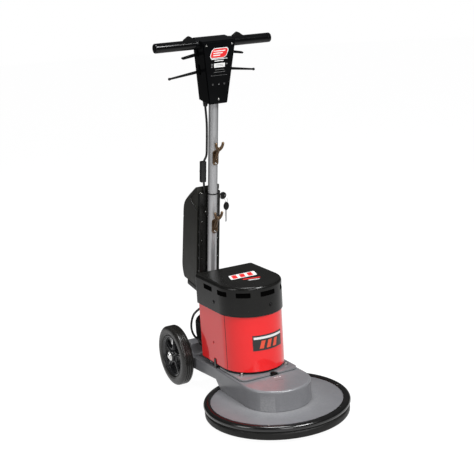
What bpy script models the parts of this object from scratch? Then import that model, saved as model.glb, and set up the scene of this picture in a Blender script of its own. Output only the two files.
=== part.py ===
# Rotary floor machine: a belt-driven single-disc floor polisher on two wheels, with a
# tilting handle that carries a removable battery pack.
# Frame: +Z up, front of the machine towards -Y, right towards +X, origin where the drive
# spindle's axis meets the floor. Metres throughout.
import bpy
import bmesh
from math import sin, cos, pi, radians, sqrt, atan2, acos
from mathutils import Matrix, Vector

for old in list(bpy.data.objects):
    bpy.data.objects.remove(old, do_unlink=True)

# ---------------------------------------------------------------- driving dimensions
GAP = 0.0003                 # clearance between neighbouring solids
SIDES = (("left", -1), ("right", 1))

DECK_R = 0.2130              # steel deck disc
DECK_TOP = 0.0520
DECK_HOLE_R = 0.0460
BUMPER_R = 0.2265            # rubber bumper around the deck
BUMPER_IN = 0.2135
BUMPER_LIP = 0.2040
BUMPER_BOTTOM = 0.0138

NOSE_R = 0.1070              # cast nose, a D that runs back into two arms
NOSE_TOP = 0.1180
NOSE_BACK = 0.2050
NOSE_WALL = 0.0050
ARM_OUT = 0.1055
ARM_IN = 0.0835

AXLE_Y = 0.4318              # wheel axle, also the handle's tilt axis
AXLE_Z = 0.1000
AXLE_R = 0.0080
AXLE_BORE_R = AXLE_R + GAP
WHEEL_R = 0.1000
TREAD_HALF = 0.0410 / 2
WHEEL_X = 0.1315             # centre plane of each wheel
HUB_R = 0.0700

PLATE_HALF = 0.0997          # motor plate
PLATE_FRONT = 0.0280
PLATE_BACK = 0.2960
PLATE_Z0 = 0.1185
PLATE_Z1 = 0.1250
NOTCH_X = 0.0120             # slot for the belt tensioner
NOTCH_R = 0.0130
NOTCH_BOLT_Y = 0.0335

MOTOR_Y = 0.1490             # motor axis
MOTOR_SHAFT_R = 0.0060
JACKET_R = 0.1018            # half width of the D-shaped jacket
JACKET_Y = 0.1440            # centre of its front arc
JACKET_BACK = 0.2985
JACKET_CORNER = 0.0120
JACKET_Z0 = 0.1330
JACKET_Z1 = 0.3110
JACKET_SEAM = 0.1215
SKIN = 0.0025                # wall of jacket and cover
COVER_R = 0.1056
COVER_BACK = 0.3030
COVER_Z0 = JACKET_Z1 + GAP
COVER_Z1 = 0.4065

PULLEY_R = 0.0750            # pitch radii of the belt drive
MOTOR_PULLEY_R = PULLEY_R / 5
BELT_Z0 = 0.0870
BELT_Z1 = 0.0990
GROOVE_Z0 = BELT_Z0 - GAP    # pulley grooves clear the belt's edges
GROOVE_Z1 = BELT_Z1 + GAP
SPINDLE_R = 0.0100
SPINDLE_BORE_R = SPINDLE_R + GAP

PAD_R = 0.1778
PAD_TOP = 0.0195
HOLDER_R = 0.1850

LEAN = radians(9.248)        # upright handle leans forward by this much
YOKE_HALF = 0.0822           # beam between the arms that the tube stands on
YOKE_TOP = 0.0370
TUBE_R = 0.0152
TUBE_BORE_R = TUBE_R + GAP   # holes that the tube passes through
TUBE_WALL = 0.0020
TUBE_S0 = 0.0350             # tube runs from here to here, measured along the handle
TUBE_S1 = 0.8800
HEAD_S0 = 0.8550             # control head
HEAD_S1 = 1.0500
SHELL_TOP = HEAD_S1 + 0.0022
HEAD_W0 = 0.0316             # its half width at the bottom and at the top
HEAD_W1 = 0.0565
HEAD_FRONT = -0.0340
HEAD_BACK = 0.0360
BAR_Y = 0.0070               # handlebar axis in the handle's own frame
BAR_S = 1.0370
BAR_R = 0.0148
BAR_HALF = 0.1986
BUTTON_X = 0.0832
SWITCH_PIVOT = (0.0200, 1.0115)  # switch lever pivot: distance from centre, height
LOCK_PIVOT = (0.0, 0.9585)       # both lock levers turn on one post at the centre
POST_R = 0.0022
SWITCH_DEPTH = (0.0045, 0.0145)  # levers' front and back faces
LOCK_DEPTH = {"left": (0.0052, 0.0102), "right": (0.0108, 0.0158)}

CABLE_X = -0.0165            # head cable where it leaves the head
CABLE_Y = 0.0205
CRADLE_HALF = 0.0370
CRADLE_FRONT = 0.0165
CRADLE_BACK = 0.0290
KEY_Y = 0.0228               # lock barrel in the cradle's right flank
KEY_Z = 0.5286
KEY_HOLE = Vector((0.0580, KEY_Y, KEY_Z))
KEY_BOW_HALF = 0.0016
KEY_BLADE_HALF = 0.0010

# ---------------------------------------------------------------- collections, materials
PARTS = bpy.data.collections.new("rotary_floor_machine")
bpy.context.scene.collection.children.link(PARTS)
HELPERS = bpy.data.collections.new("cutters")
bpy.context.scene.collection.children.link(HELPERS)

# look: colour, roughness, metallic
LOOKS = {
    "grey_casting": ((0.235, 0.235, 0.250), 0.45, 0.30),
    "black_gloss": ((0.012, 0.012, 0.012), 0.22, 0.0),
    "black_matt": ((0.030, 0.030, 0.028), 0.55, 0.0),
    "red_gloss": ((0.780, 0.028, 0.020), 0.25, 0.0),
    "steel": ((0.560, 0.560, 0.560), 0.30, 1.0),
    "zinc": ((0.620, 0.620, 0.600), 0.35, 1.0),
    "tube_grey": ((0.330, 0.330, 0.350), 0.38, 0.55),
    "rubber": ((0.045, 0.042, 0.040), 0.60, 0.0),
    "hub_plastic": ((0.060, 0.062, 0.068), 0.35, 0.0),
    "battery_case": ((0.040, 0.039, 0.033), 0.48, 0.0),
    "bronze": ((0.120, 0.070, 0.040), 0.42, 0.70),
    "pad_fibre": ((0.060, 0.015, 0.012), 0.95, 0.0),
    "copper": ((0.500, 0.200, 0.090), 0.35, 1.0),
    "nylon": ((0.500, 0.480, 0.430), 0.50, 0.0),
}


def material(name, look):
    color, roughness, metallic = LOOKS[look]
    made = bpy.data.materials.new(name)
    made.use_nodes = True
    shader = made.node_tree.nodes["Principled BSDF"]
    shader.inputs["Base Color"].default_value = (*color, 1.0)
    shader.inputs["Roughness"].default_value = roughness
    shader.inputs["Metallic"].default_value = metallic
    made.diffuse_color = (*color, 1.0)
    return made


# ---------------------------------------------------------------- construction helpers
def clean(bm):
    bmesh.ops.remove_doubles(bm, verts=bm.verts, dist=0.00001)
    bmesh.ops.dissolve_degenerate(bm, edges=bm.edges, dist=0.00001)
    bmesh.ops.recalc_face_normals(bm, faces=bm.faces)


def from_bmesh(bm):
    mesh = bpy.data.meshes.new("solid")
    bm.to_mesh(mesh)
    bm.free()
    body = bpy.data.objects.new("solid", mesh)
    HELPERS.objects.link(body)
    body.hide_render = True
    body.display_type = 'WIRE'
    return body


def baked(source):
    """Replace an object with modifiers, or a curve, by a plain mesh object."""
    bpy.context.view_layer.update()
    depsgraph = bpy.context.evaluated_depsgraph_get()
    mesh = bpy.data.meshes.new_from_object(source.evaluated_get(depsgraph))
    bm = bmesh.new()
    bm.from_mesh(mesh)
    bpy.data.meshes.remove(mesh)
    clean(bm)
    body = from_bmesh(bm)
    bpy.data.objects.remove(source, do_unlink=True)
    return body


def box(x0, x1, y0, y1, z0, z1):
    bm = bmesh.new()
    bmesh.ops.create_cube(bm, size=1.0)
    bmesh.ops.scale(bm, vec=(x1 - x0, y1 - y0, z1 - z0), verts=bm.verts)
    center = ((x0 + x1) / 2, (y0 + y1) / 2, (z0 + z1) / 2)
    bmesh.ops.translate(bm, vec=center, verts=bm.verts)
    return from_bmesh(bm)


def rod(start, end, radius, segments=20, end_radius=None):
    """Cylinder, or cone if end_radius is given, from start to end."""
    start, end = Vector(start), Vector(end)
    run = end - start
    bm = bmesh.new()
    bmesh.ops.create_cone(bm, cap_ends=True, segments=segments, radius1=radius,
                          radius2=radius if end_radius is None else end_radius,
                          depth=run.length)
    turn = Vector((0, 0, 1)).rotation_difference(run)
    bmesh.ops.rotate(bm, verts=bm.verts, cent=(0, 0, 0), matrix=turn.to_matrix())
    bmesh.ops.translate(bm, verts=bm.verts, vec=(start + end) / 2)
    return from_bmesh(bm)


def rod_x(x0, x1, y, z, radius, segments=20, end_radius=None):
    return rod((x0, y, z), (x1, y, z), radius, segments, end_radius)


def rod_y(x, y0, y1, z, radius, segments=20, end_radius=None):
    return rod((x, y0, z), (x, y1, z), radius, segments, end_radius)


def rod_z(x, y, z0, z1, radius, segments=20, end_radius=None):
    return rod((x, y, z0), (x, y, z1), radius, segments, end_radius)


def ball(center, radius):
    bm = bmesh.new()
    bmesh.ops.create_uvsphere(bm, u_segments=10, v_segments=6, radius=radius)
    bmesh.ops.translate(bm, verts=bm.verts, vec=center)
    return from_bmesh(bm)


def turned(profile, steps, axis='Z', closed=True):
    """Revolve a profile of (radius, height) points about Z, then lay it along the axis."""
    count = len(profile)
    edges = [(i, i + 1) for i in range(count - 1)]
    if closed:
        edges.append((count - 1, 0))
    mesh = bpy.data.meshes.new("profile")
    mesh.from_pydata([(r, 0.0, z) for r, z in profile], edges, [])
    source = bpy.data.objects.new("profile", mesh)
    HELPERS.objects.link(source)
    screw = source.modifiers.new("Screw", 'SCREW')
    screw.steps = steps
    screw.render_steps = steps
    screw.use_merge_vertices = True
    screw.merge_threshold = 0.00001
    screw.axis = 'Z'
    body = baked(source)
    if axis == 'X':
        body.data.transform(Matrix.Rotation(pi / 2, 4, 'Y'))
    return body


def sleeve(outer, inner, bottom, top, steps, axis='Z'):
    """Plain tube between two radii."""
    return turned([(outer, top), (outer, bottom), (inner, bottom), (inner, top)], steps, axis)


def baked_curve(loops, dimensions, cyclic, **settings):
    """Bake a curve of straight-sided loops of (x, y, z) points."""
    curve = bpy.data.curves.new("curve", 'CURVE')
    curve.dimensions = dimensions
    for key, value in settings.items():
        setattr(curve, key, value)
    for loop in loops:
        spline = curve.splines.new('POLY')
        spline.points.add(len(loop) - 1)
        for point, place in zip(spline.points, loop):
            point.co = (*place, 1.0)
        spline.use_cyclic_u = cyclic
    source = bpy.data.objects.new("curve", curve)
    HELPERS.objects.link(source)
    return baked(source)


def slab(loops, t0, t1, plane='XY'):
    """Flat outline (outer loop, then holes) extruded from t0 to t1 along the plane's normal."""
    body = baked_curve([[(u, v, 0.0) for u, v in loop] for loop in loops], '2D', True,
                       fill_mode='BOTH', extrude=(t1 - t0) / 2)
    shift(body, z=(t0 + t1) / 2)
    if plane == 'YZ':        # outline given as (y, z), thickness along X
        moved(body, Matrix(((0, 0, 1, 0), (1, 0, 0, 0), (0, 1, 0, 0), (0, 0, 0, 1))))
    elif plane == 'XZ':      # outline given as (x, z), thickness along Y
        moved(body, Matrix(((1, 0, 0, 0), (0, 0, 1, 0), (0, 1, 0, 0), (0, 0, 0, 1))))
        face_outwards(body)  # that swap of axes mirrors the body
    return body


def wire(points, radius):
    return baked_curve([points], '3D', False, bevel_depth=radius, bevel_resolution=1,
                       use_fill_caps=True)


def face_outwards(body):
    bm = bmesh.new()
    bm.from_mesh(body.data)
    bmesh.ops.recalc_face_normals(bm, faces=bm.faces)
    bm.to_mesh(body.data)
    bm.free()


def boolean(body, tools, operation):
    for tool in tools:
        modifier = body.modifiers.new("Boolean", 'BOOLEAN')
        modifier.operation = operation
        modifier.solver = 'EXACT'
        modifier.object = tool
    result = baked(body)
    for tool in tools:
        bpy.data.objects.remove(tool, do_unlink=True)
    return result


def cut(body, *tools):
    return boolean(body, tools, 'DIFFERENCE')


def join(body, *others):
    return boolean(body, others, 'UNION')


def soften(body, width, chosen, segments=2):
    """Round the sharp edges whose two ends satisfy chosen(a, b)."""
    bm = bmesh.new()
    bm.from_mesh(body.data)
    edges = [e for e in bm.edges if len(e.link_faces) == 2 and e.calc_face_angle(0) > 0.35
             and chosen(e.verts[0].co, e.verts[1].co)]
    bmesh.ops.bevel(bm, geom=edges, offset=width, segments=segments, profile=0.5,
                    affect='EDGES', clamp_overlap=True)
    clean(bm)
    bm.to_mesh(body.data)
    bm.free()


def both_ends(*tests):
    """Edge choice for soften: both ends pass the same one of the tests."""
    return lambda a, b: any(test(a) and test(b) for test in tests)


def moved(body, matrix):
    body.data.transform(matrix)
    return body


def shift(body, x=0.0, y=0.0, z=0.0):
    return moved(body, Matrix.Translation((x, y, z)))


def finish(body, name, look, parent=None, at=(0, 0, 0), smooth=35):
    """Name the solid, give it its own material and its parent. `at` becomes its origin."""
    HELPERS.objects.unlink(body)
    PARTS.objects.link(body)
    body.hide_render = False
    body.display_type = 'TEXTURED'
    body.name = name
    body.data.name = name
    body.data.materials.append(material(name + "_" + look, look))
    if at != (0, 0, 0):
        shift(body, -at[0], -at[1], -at[2])
        body.location = at
    body.parent = parent
    body.data.shade_smooth()
    body.data.set_sharp_from_angle(angle=radians(smooth))


def empty(name, at, rotation=(0, 0, 0)):
    frame = bpy.data.objects.new(name, None)
    PARTS.objects.link(frame)
    frame.location = at
    frame.rotation_euler = rotation
    frame.empty_display_size = 0.02
    return frame


def span(side, near, far):
    """The x range between two distances from the centre plane, on one side."""
    return sorted((side * near, side * far))


def arc(x, y, radius, a0, a1, steps):
    angles = [a0 + (a1 - a0) * i / steps for i in range(steps + 1)]
    return [(x + radius * cos(a), y + radius * sin(a)) for a in angles]


def circle(x, y, radius, steps):
    return arc(x, y, radius, 0, 2 * pi, steps)[:-1]


def d_loop(radius, back, corner, steps=24):
    """D outline: half circle towards -Y, straight flanks, flat back with rounded corners."""
    return (arc(0.0, JACKET_Y, radius, pi, 2 * pi, steps)
            + arc(radius - corner, back - corner, corner, 0, pi / 2, 4)
            + arc(-radius + corner, back - corner, corner, pi / 2, pi, 4))


def rounded(x0, x1, y0, y1, r, steps=3):
    return (arc(x1 - r, y1 - r, r, 0, pi / 2, steps)
            + arc(x0 + r, y1 - r, r, pi / 2, pi, steps)
            + arc(x0 + r, y0 + r, r, pi, 1.5 * pi, steps)
            + arc(x1 - r, y0 + r, r, 1.5 * pi, 2 * pi, steps))


# ================================================================= base
# Outlines of turned parts are (radius, height); those of side views are (y, z).
BUMPER_PROFILE = [
    (BUMPER_LIP, DECK_TOP + 0.0025), (0.2075, 0.0560), (0.2150, 0.0570), (0.2230, 0.0540),
    (BUMPER_R, 0.0485), (0.2252, 0.0415), (0.2205, 0.0368), (0.2230, 0.0330),
    (0.2226, BUMPER_BOTTOM), (BUMPER_IN, BUMPER_BOTTOM), (BUMPER_IN, 0.0497),
    (0.2110, DECK_TOP + GAP), (BUMPER_LIP, DECK_TOP + GAP)]
HEEL_SIDE = [
    (0.168, 0.040), (0.2120, 0.040), (0.2120, 0.0830), (0.1950, 0.0800),
    (0.1720, 0.0540), (0.168, 0.0520)]
ARM_SIDE = [
    (0.1900, 0.1165), (0.1900, 0.0805), (0.3900, 0.0670), (0.4260, 0.0810),
    (0.4430, 0.0840), (0.4500, 0.0930), (0.4510, 0.1050), (0.4430, 0.1165),
    (0.4300, 0.1200), (0.4120, 0.1150), (0.3900, 0.1060), (0.3500, 0.1080),
    (0.2150, 0.1165)]


def build_deck():
    skirt_bottom = 0.0200
    skirt_in = DECK_R - 0.0020
    underside = 0.0500
    body = turned([(DECK_R - 0.0025, DECK_TOP), (DECK_R, DECK_TOP - 0.0025),
                   (DECK_R, skirt_bottom), (skirt_in, skirt_bottom), (skirt_in, 0.0492),
                   (DECK_R - 0.0032, underside), (DECK_HOLE_R, underside),
                   (DECK_HOLE_R, DECK_TOP)], 48)
    finish(body, "deck_cover", "grey_casting")


def build_bumper():
    finish(turned(BUMPER_PROFILE, 48), "bumper_ring", "black_gloss")


def build_chassis():
    """Cast nose with two arms, a cross member and the axle bosses."""
    chamfer = 0.010
    ceiling = NOSE_TOP - NOSE_WALL
    inner = ARM_OUT - NOSE_WALL
    nose = slab([arc(0, 0, NOSE_R, pi, 2 * pi, 22)
                 + [(ARM_OUT, NOSE_BACK - chamfer), (ARM_OUT - chamfer, NOSE_BACK),
                    (-ARM_OUT + chamfer, NOSE_BACK), (-ARM_OUT, NOSE_BACK - chamfer)]],
                DECK_TOP + GAP, NOSE_TOP)
    soften(nose, 0.005, both_ends(lambda p: p.z > NOSE_TOP - 0.0005))
    cavity = slab([arc(0, 0, NOSE_R - NOSE_WALL, pi, 2 * pi, 22)
                   + [(inner, 0.158), (-inner, 0.158)]], DECK_TOP - 0.010, ceiling)
    pulley_pocket = slab([arc(0, 0.152, 0.030, 0, pi, 12) + [(-0.030, 0.140), (0.030, 0.140)]],
                         BELT_Z0 - 0.006, ceiling)
    shaft_hole = rod_z(0, MOTOR_Y, 0.105, 0.130, 0.0240, 24)
    heel = slab([HEEL_SIDE], -0.13, 0.13, 'YZ')
    nose = cut(nose, cavity, pulley_pocket, shaft_hole, heel)
    arms = [slab([ARM_SIDE], *span(side, ARM_IN, ARM_OUT), 'YZ') for _, side in SIDES]
    cross_member = box(-ARM_IN - 0.002, ARM_IN + 0.002, 0.3720, 0.3850, 0.0720, 0.1040)
    body = join(nose, *arms, cross_member)
    body = cut(body, rod_x(-0.12, 0.12, AXLE_Y, AXLE_Z, AXLE_BORE_R))
    finish(body, "chassis_casting", "grey_casting")


def build_motor_plate():
    """Wide in front, narrower between the arms, tensioner slot in its front edge."""
    corner = 0.020
    corner_x = PLATE_HALF - corner
    tail = ARM_IN - 0.002
    outline = (arc(-PLATE_HALF + corner, PLATE_FRONT + corner, corner, pi, 1.5 * pi, 4)
               + [(NOTCH_X - NOTCH_R, PLATE_FRONT)]
               + arc(NOTCH_X, PLATE_FRONT + 0.004, NOTCH_R, pi, 0, 8)
               + [(NOTCH_X + NOTCH_R, PLATE_FRONT)]
               + arc(corner_x, PLATE_FRONT + corner, corner, 1.5 * pi, 2 * pi, 4)
               + [(PLATE_HALF, 0.175), (tail, 0.190), (tail, PLATE_BACK),
                  (-tail, PLATE_BACK), (-tail, 0.190), (-PLATE_HALF, 0.175)])
    body = slab([outline, circle(0, MOTOR_Y, 0.0235, 24)], PLATE_Z0, PLATE_Z1)
    finish(body, "motor_plate", "grey_casting", smooth=25)


def build_adjuster_bolt():
    body = join(rod_z(NOTCH_X, NOTCH_BOLT_Y, NOSE_TOP + GAP, 0.1200, 0.0088, 16),
                rod_z(NOTCH_X, NOTCH_BOLT_Y, 0.1195, 0.1265, 0.0070, 6))
    finish(body, "adjuster_bolt", "black_matt", smooth=25)


def build_plate_nut(name, side):
    x, y = side * 0.0790, 0.0710
    body = join(rod_z(x, y, PLATE_Z1 + GAP, 0.1288, 0.0062, 6), ball((x, y, 0.1290), 0.0036))
    finish(body, "plate_nut_" + name, "zinc")


def build_jacket_clip(name, side):
    """Folded clip that holds the jacket's lower edge to the arm."""
    outer, front, back, bottom = 0.1046, 0.1930, 0.2050, 0.1183
    blade = box(*span(side, 0.1030, outer), front, back, bottom, 0.1480)
    foot = box(*span(side, 0.0880, outer), front, back, bottom, 0.1203)
    finish(join(blade, foot), "jacket_clip_" + name, "zinc")


def build_seal_ring():
    """Black gasket between plate and jacket."""
    body = slab([d_loop(0.0975, 0.2945, 0.010, 20), d_loop(0.0905, 0.2875, 0.006, 20)],
                PLATE_Z1 + GAP, JACKET_Z0 - GAP)
    finish(body, "seal_ring", "black_matt")


def build_motor_stator():
    """Can with a foot flange, and the magnet ring inside it."""
    can_r, flange_r, hole_r = 0.0750, 0.0840, 0.0120
    top, ceiling, flange_top = 0.2850, 0.2790, 0.1295
    can = turned([(hole_r, top), (0.0700, top), (can_r, 0.2800), (can_r, flange_top),
                  (flange_r, flange_top), (flange_r, PLATE_Z1 + GAP),
                  (0.0710, PLATE_Z1 + GAP), (0.0710, ceiling), (hole_r, ceiling)], 24)
    finish(shift(can, y=MOTOR_Y), "motor_can", "black_matt")
    magnets = sleeve(0.0705, 0.0560, 0.1500, 0.2600, 24)
    finish(shift(magnets, y=MOTOR_Y), "magnet_ring", "steel")


def seam_angle(radius, forward):
    """Angle, ahead of the X axis, of the point on the arc that lies `forward` of its centre."""
    return atan2(forward, sqrt(radius * radius - forward * forward))


def build_jacket_front():
    """Front shell, ending at a seam on each flank."""
    inner = JACKET_R - SKIN
    forward = JACKET_Y - JACKET_SEAM
    a_out, a_in = seam_angle(JACKET_R, forward), seam_angle(inner, forward)
    loop = (arc(0, JACKET_Y, JACKET_R, pi + a_out, 2 * pi - a_out, 24)
            + arc(0, JACKET_Y, inner, 2 * pi - a_in, pi + a_in, 24))
    finish(slab([loop], JACKET_Z0, JACKET_Z1), "jacket_front", "red_gloss")


def build_jacket_rear():
    """Rear shell, with two notches for the clips and three vents low in its back."""
    inner = JACKET_R - SKIN
    forward = JACKET_Y - JACKET_SEAM - 0.0006
    a_out, a_in = seam_angle(JACKET_R, forward), seam_angle(inner, forward)
    corner = JACKET_CORNER
    x, y = JACKET_R - corner, JACKET_BACK - corner
    loop = (arc(0, JACKET_Y, JACKET_R, 2 * pi - a_out, 2 * pi, 3)
            + arc(x, y, corner, 0, pi / 2, 4)
            + arc(-x, y, corner, pi / 2, pi, 4)
            + arc(0, JACKET_Y, JACKET_R, pi, pi + a_out, 3)
            + arc(0, JACKET_Y, inner, pi + a_in, pi, 3)
            + arc(-x, y, corner - SKIN, pi, pi / 2, 4)
            + arc(x, y, corner - SKIN, pi / 2, 0, 4)
            + arc(0, JACKET_Y, inner, 2 * pi, 2 * pi - a_in, 3))
    body = slab([loop], JACKET_Z0, JACKET_Z1)
    clip_notches = box(-0.110, 0.110, 0.1920, 0.2060, JACKET_Z0 - 0.01, 0.1560)
    vents = [box(-0.060, 0.060, JACKET_BACK - 0.008, JACKET_BACK + 0.004, z, z + 0.003)
             for z in (0.150, 0.160, 0.170)]
    finish(cut(body, clip_notches, *vents), "jacket_rear", "red_gloss")


def build_top_cover():
    """Cover with a row of cooling slots round its upper edge."""
    slot_z = (0.3715, 0.3835)

    def vent(x, y, angle):
        place = Matrix.Translation((x, y, 0)) @ Matrix.Rotation(angle, 4, 'Z')
        return moved(box(-0.022, 0.022, -0.008, 0.008, *slot_z), place)

    body = slab([d_loop(COVER_R, COVER_BACK, 0.012)], COVER_Z0, COVER_Z1)
    soften(body, 0.009, both_ends(lambda p: p.z > COVER_Z1 - 0.0005))
    body = cut(body, slab([d_loop(COVER_R - SKIN, COVER_BACK - SKIN, 0.0095)],
                          COVER_Z0 - 0.010, COVER_Z1 - 0.003))
    flank_x = COVER_R - 0.001
    front_r = COVER_R - 0.003
    vents = [vent(-flank_x, 0.2190, pi / 2)]
    for degrees in (-171, -126, -80, -35):
        a = radians(degrees)
        vents.append(vent(front_r * cos(a), JACKET_Y + front_r * sin(a), a + pi / 2))
    vents.append(vent(flank_x, 0.1900, pi / 2))
    vents.append(box(COVER_R - 0.008, COVER_R + 0.008, 0.236, 0.272, *slot_z))
    for x in (-0.062, 0.0, 0.062):
        vents.append(box(x - 0.020, x + 0.020, COVER_BACK - 0.008, COVER_BACK + 0.008, *slot_z))
    finish(cut(body, *vents), "top_cover", "black_matt")


def build_cover_screws():
    """Slotted screw heads on the cover's flanks and front."""
    reach = COVER_R + GAP
    flank_y, height, head = 0.1770, 0.3420, 0.0022
    front = radians(-79.2)
    # name, x, y, direction the head faces
    screws = (("left", -reach, flank_y, pi),
              ("front", reach * cos(front), JACKET_Y + reach * sin(front), front),
              ("right", reach, flank_y, 0.0))
    for name, x, y, angle in screws:
        out = Vector((cos(angle), sin(angle), 0))
        seat = Vector((x, y, height))
        tip = seat + out * head
        turn = Vector((0, 0, 1)).rotation_difference(out).to_matrix().to_4x4()
        drive_slot = moved(box(-0.0032, 0.0032, -0.0006, 0.0006, -0.001, 0.001),
                           Matrix.Translation(tip) @ turn)
        body = cut(rod(seat, tip, 0.0045, 12, 0.0034), drive_slot)
        finish(body, "cover_screw_" + name, "black_gloss")


def build_drive_belt():
    """Open belt round both pulleys, inside the nose."""
    wrap = acos((PULLEY_R - MOTOR_PULLEY_R) / MOTOR_Y)

    def belt_loop(offset):
        return (arc(0, MOTOR_Y, MOTOR_PULLEY_R + offset, pi / 2 - wrap, pi / 2 + wrap, 8)
                + arc(0, 0, PULLEY_R + offset, pi / 2 + wrap, 2.5 * pi - wrap, 28))

    body = slab([belt_loop(0.0034), belt_loop(0.0006)], BELT_Z0, BELT_Z1)
    finish(body, "drive_belt", "rubber")


def build_spindle_bearings():
    """Flanged housing on the deck with a bearing at each end."""
    top, bottom, seat_z = 0.0780, 0.0340, 0.0370
    outer, inner, flange_r, flange_top = 0.0300, 0.0205, 0.0600, 0.0576
    body = turned([(outer, top), (outer, flange_top), (flange_r, flange_top),
                   (flange_r, DECK_TOP + GAP), (outer, DECK_TOP + GAP), (outer, bottom),
                   (0.0120, bottom), (0.0120, seat_z), (inner, seat_z), (inner, top)], 20)
    finish(body, "bearing_housing", "grey_casting")
    for name, z0, z1 in (("upper", 0.0640, 0.0760), ("lower", 0.0380, 0.0500)):
        bearing = sleeve(0.0202, SPINDLE_BORE_R, z0, z1, 20)
        finish(bearing, "spindle_bearing_" + name, "steel")


def build_axle():
    finish(rod_x(-0.1560, 0.1560, AXLE_Y, AXLE_Z, AXLE_R), "axle", "zinc")


def build_axle_nut(name, side):
    """Washer and domed nut on the axle's end."""
    washer = rod_x(side * 0.1525, side * 0.1545, AXLE_Y, AXLE_Z, 0.0150, 18)
    nut = rod_x(side * 0.1540, side * 0.1600, AXLE_Y, AXLE_Z, 0.0110, 14, 0.0085)
    body = join(washer, nut)
    body = cut(body, rod_x(side * 0.1480, side * 0.1566, AXLE_Y, AXLE_Z, AXLE_BORE_R))
    finish(body, "axle_nut_" + name, "zinc")


def build_lock_drum():
    """Friction drum on the axle that the handle lock bears on."""
    body = sleeve(0.0240, AXLE_BORE_R, -0.0110, 0.0110, 28, 'X')
    finish(shift(body, y=AXLE_Y, z=AXLE_Z), "lock_drum", "steel")


# (x, z) outline of the moulded plug on the jacket's back
MOTOR_PLUG_OUTLINE = [
    (-0.0740, 0.2540), (-0.0880, 0.2440), (-0.0930, 0.2340), (-0.0935, 0.1950),
    (-0.0900, 0.1720), (-0.0830, 0.1560), (-0.0600, 0.1520), (-0.0450, 0.1600),
    (-0.0450, 0.2500), (-0.0500, 0.2540)]
# (x, y, z) along the cable that loops from the plug's top to its lower part
MOTOR_CABLE_PATH = [
    (-0.0640, 0.3150, 0.2480), (-0.0650, 0.3220, 0.2640), (-0.0690, 0.3400, 0.2740),
    (-0.0780, 0.3510, 0.2660), (-0.0943, 0.3520, 0.2519), (-0.1039, 0.3520, 0.2271),
    (-0.1044, 0.3520, 0.2024), (-0.0962, 0.3520, 0.1800), (-0.0860, 0.3500, 0.1690),
    (-0.0800, 0.3430, 0.1640), (-0.0740, 0.3330, 0.1640)]


def build_motor_cable():
    plug = slab([MOTOR_PLUG_OUTLINE], JACKET_BACK + GAP, 0.3440, 'XZ')
    finish(join(plug, wire(MOTOR_CABLE_PATH, 0.0034)), "motor_cable", "black_matt")


# ================================================================= spindle and pad
def build_spindle():
    finish(rod_z(0, 0, 0.0200, 0.1060, SPINDLE_R, 24), "spindle", "steel")


def build_spindle_pulley():
    flange_r, hub_r, top, rim_z, web_z = 0.0800, 0.0300, 0.1035, 0.0840, 0.0810
    body = turned([(flange_r, top), (flange_r, GROOVE_Z1), (PULLEY_R, GROOVE_Z1),
                   (PULLEY_R, GROOVE_Z0), (flange_r, GROOVE_Z0), (flange_r, rim_z),
                   (hub_r, rim_z), (hub_r, web_z), (SPINDLE_BORE_R, web_z),
                   (SPINDLE_BORE_R, top)], 28)
    finish(body, "spindle_pulley", "nylon")


def build_pad():
    holder = sleeve(HOLDER_R, SPINDLE_BORE_R, PAD_TOP + GAP, 0.0300, 32)
    finish(holder, "pad_holder", "black_matt")
    pad = turned([(0.0, PAD_TOP), (PAD_R, PAD_TOP), (PAD_R, 0.0060), (PAD_R - 0.0050, 0.0),
                  (0.0, 0.0)], 32, closed=False)
    finish(pad, "floor_pad", "pad_fibre")


# ================================================================= motor rotor
# These parts turn about the empty on the motor's axis.
ROTOR = empty("motor_axis", (0, MOTOR_Y, 0))
ROTOR_BORE_R = MOTOR_SHAFT_R + GAP


def build_motor_shaft():
    finish(rod_z(0, 0, 0.0860, 0.3020, MOTOR_SHAFT_R), "motor_shaft", "steel", ROTOR)


def build_armature():
    core_r, neck_r = 0.0520, 0.0220
    bottom, shoulder, top = 0.1520, 0.2580, 0.2720
    body = turned([(ROTOR_BORE_R, top), (neck_r, top), (neck_r, shoulder),
                   (core_r, shoulder), (core_r, bottom), (ROTOR_BORE_R, bottom)], 20)
    finish(body, "armature", "copper", ROTOR)


def build_motor_pulley():
    flange_r, bottom, top = 0.0190, 0.0845, 0.1045
    body = turned([(ROTOR_BORE_R, top), (flange_r, top), (flange_r, GROOVE_Z1),
                   (MOTOR_PULLEY_R, GROOVE_Z1), (MOTOR_PULLEY_R, GROOVE_Z0),
                   (flange_r, GROOVE_Z0), (flange_r, bottom), (ROTOR_BORE_R, bottom)], 18)
    finish(body, "motor_pulley", "steel", ROTOR)


def build_cooling_fan():
    count = 7
    hub = rod_z(0, 0, 0.2880, 0.3010, 0.0160, 14)
    blades = [moved(box(0.012, 0.060, -0.0010, 0.0010, 0.2890, 0.3000),
                    Matrix.Rotation(2 * pi * i / count, 4, 'Z')) for i in range(count)]
    body = cut(join(hub, *blades), rod_z(0, 0, 0.280, 0.310, ROTOR_BORE_R))
    finish(body, "cooling_fan", "nylon", ROTOR)


# ================================================================= wheels
def tyre():
    """Rounded shoulders and two grooves round the tread."""
    half = [(HUB_R + 0.0006, TREAD_HALF - 0.003), (HUB_R + 0.005, TREAD_HALF),
            (WHEEL_R - 0.014, TREAD_HALF), (WHEEL_R - 0.0050, TREAD_HALF - 0.0040),
            (WHEEL_R, 0.0075), (WHEEL_R - 0.003, 0.0050), (WHEEL_R, 0.0025)]
    return turned(half + [(r, -z) for r, z in reversed(half)], 28, 'X')


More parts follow.
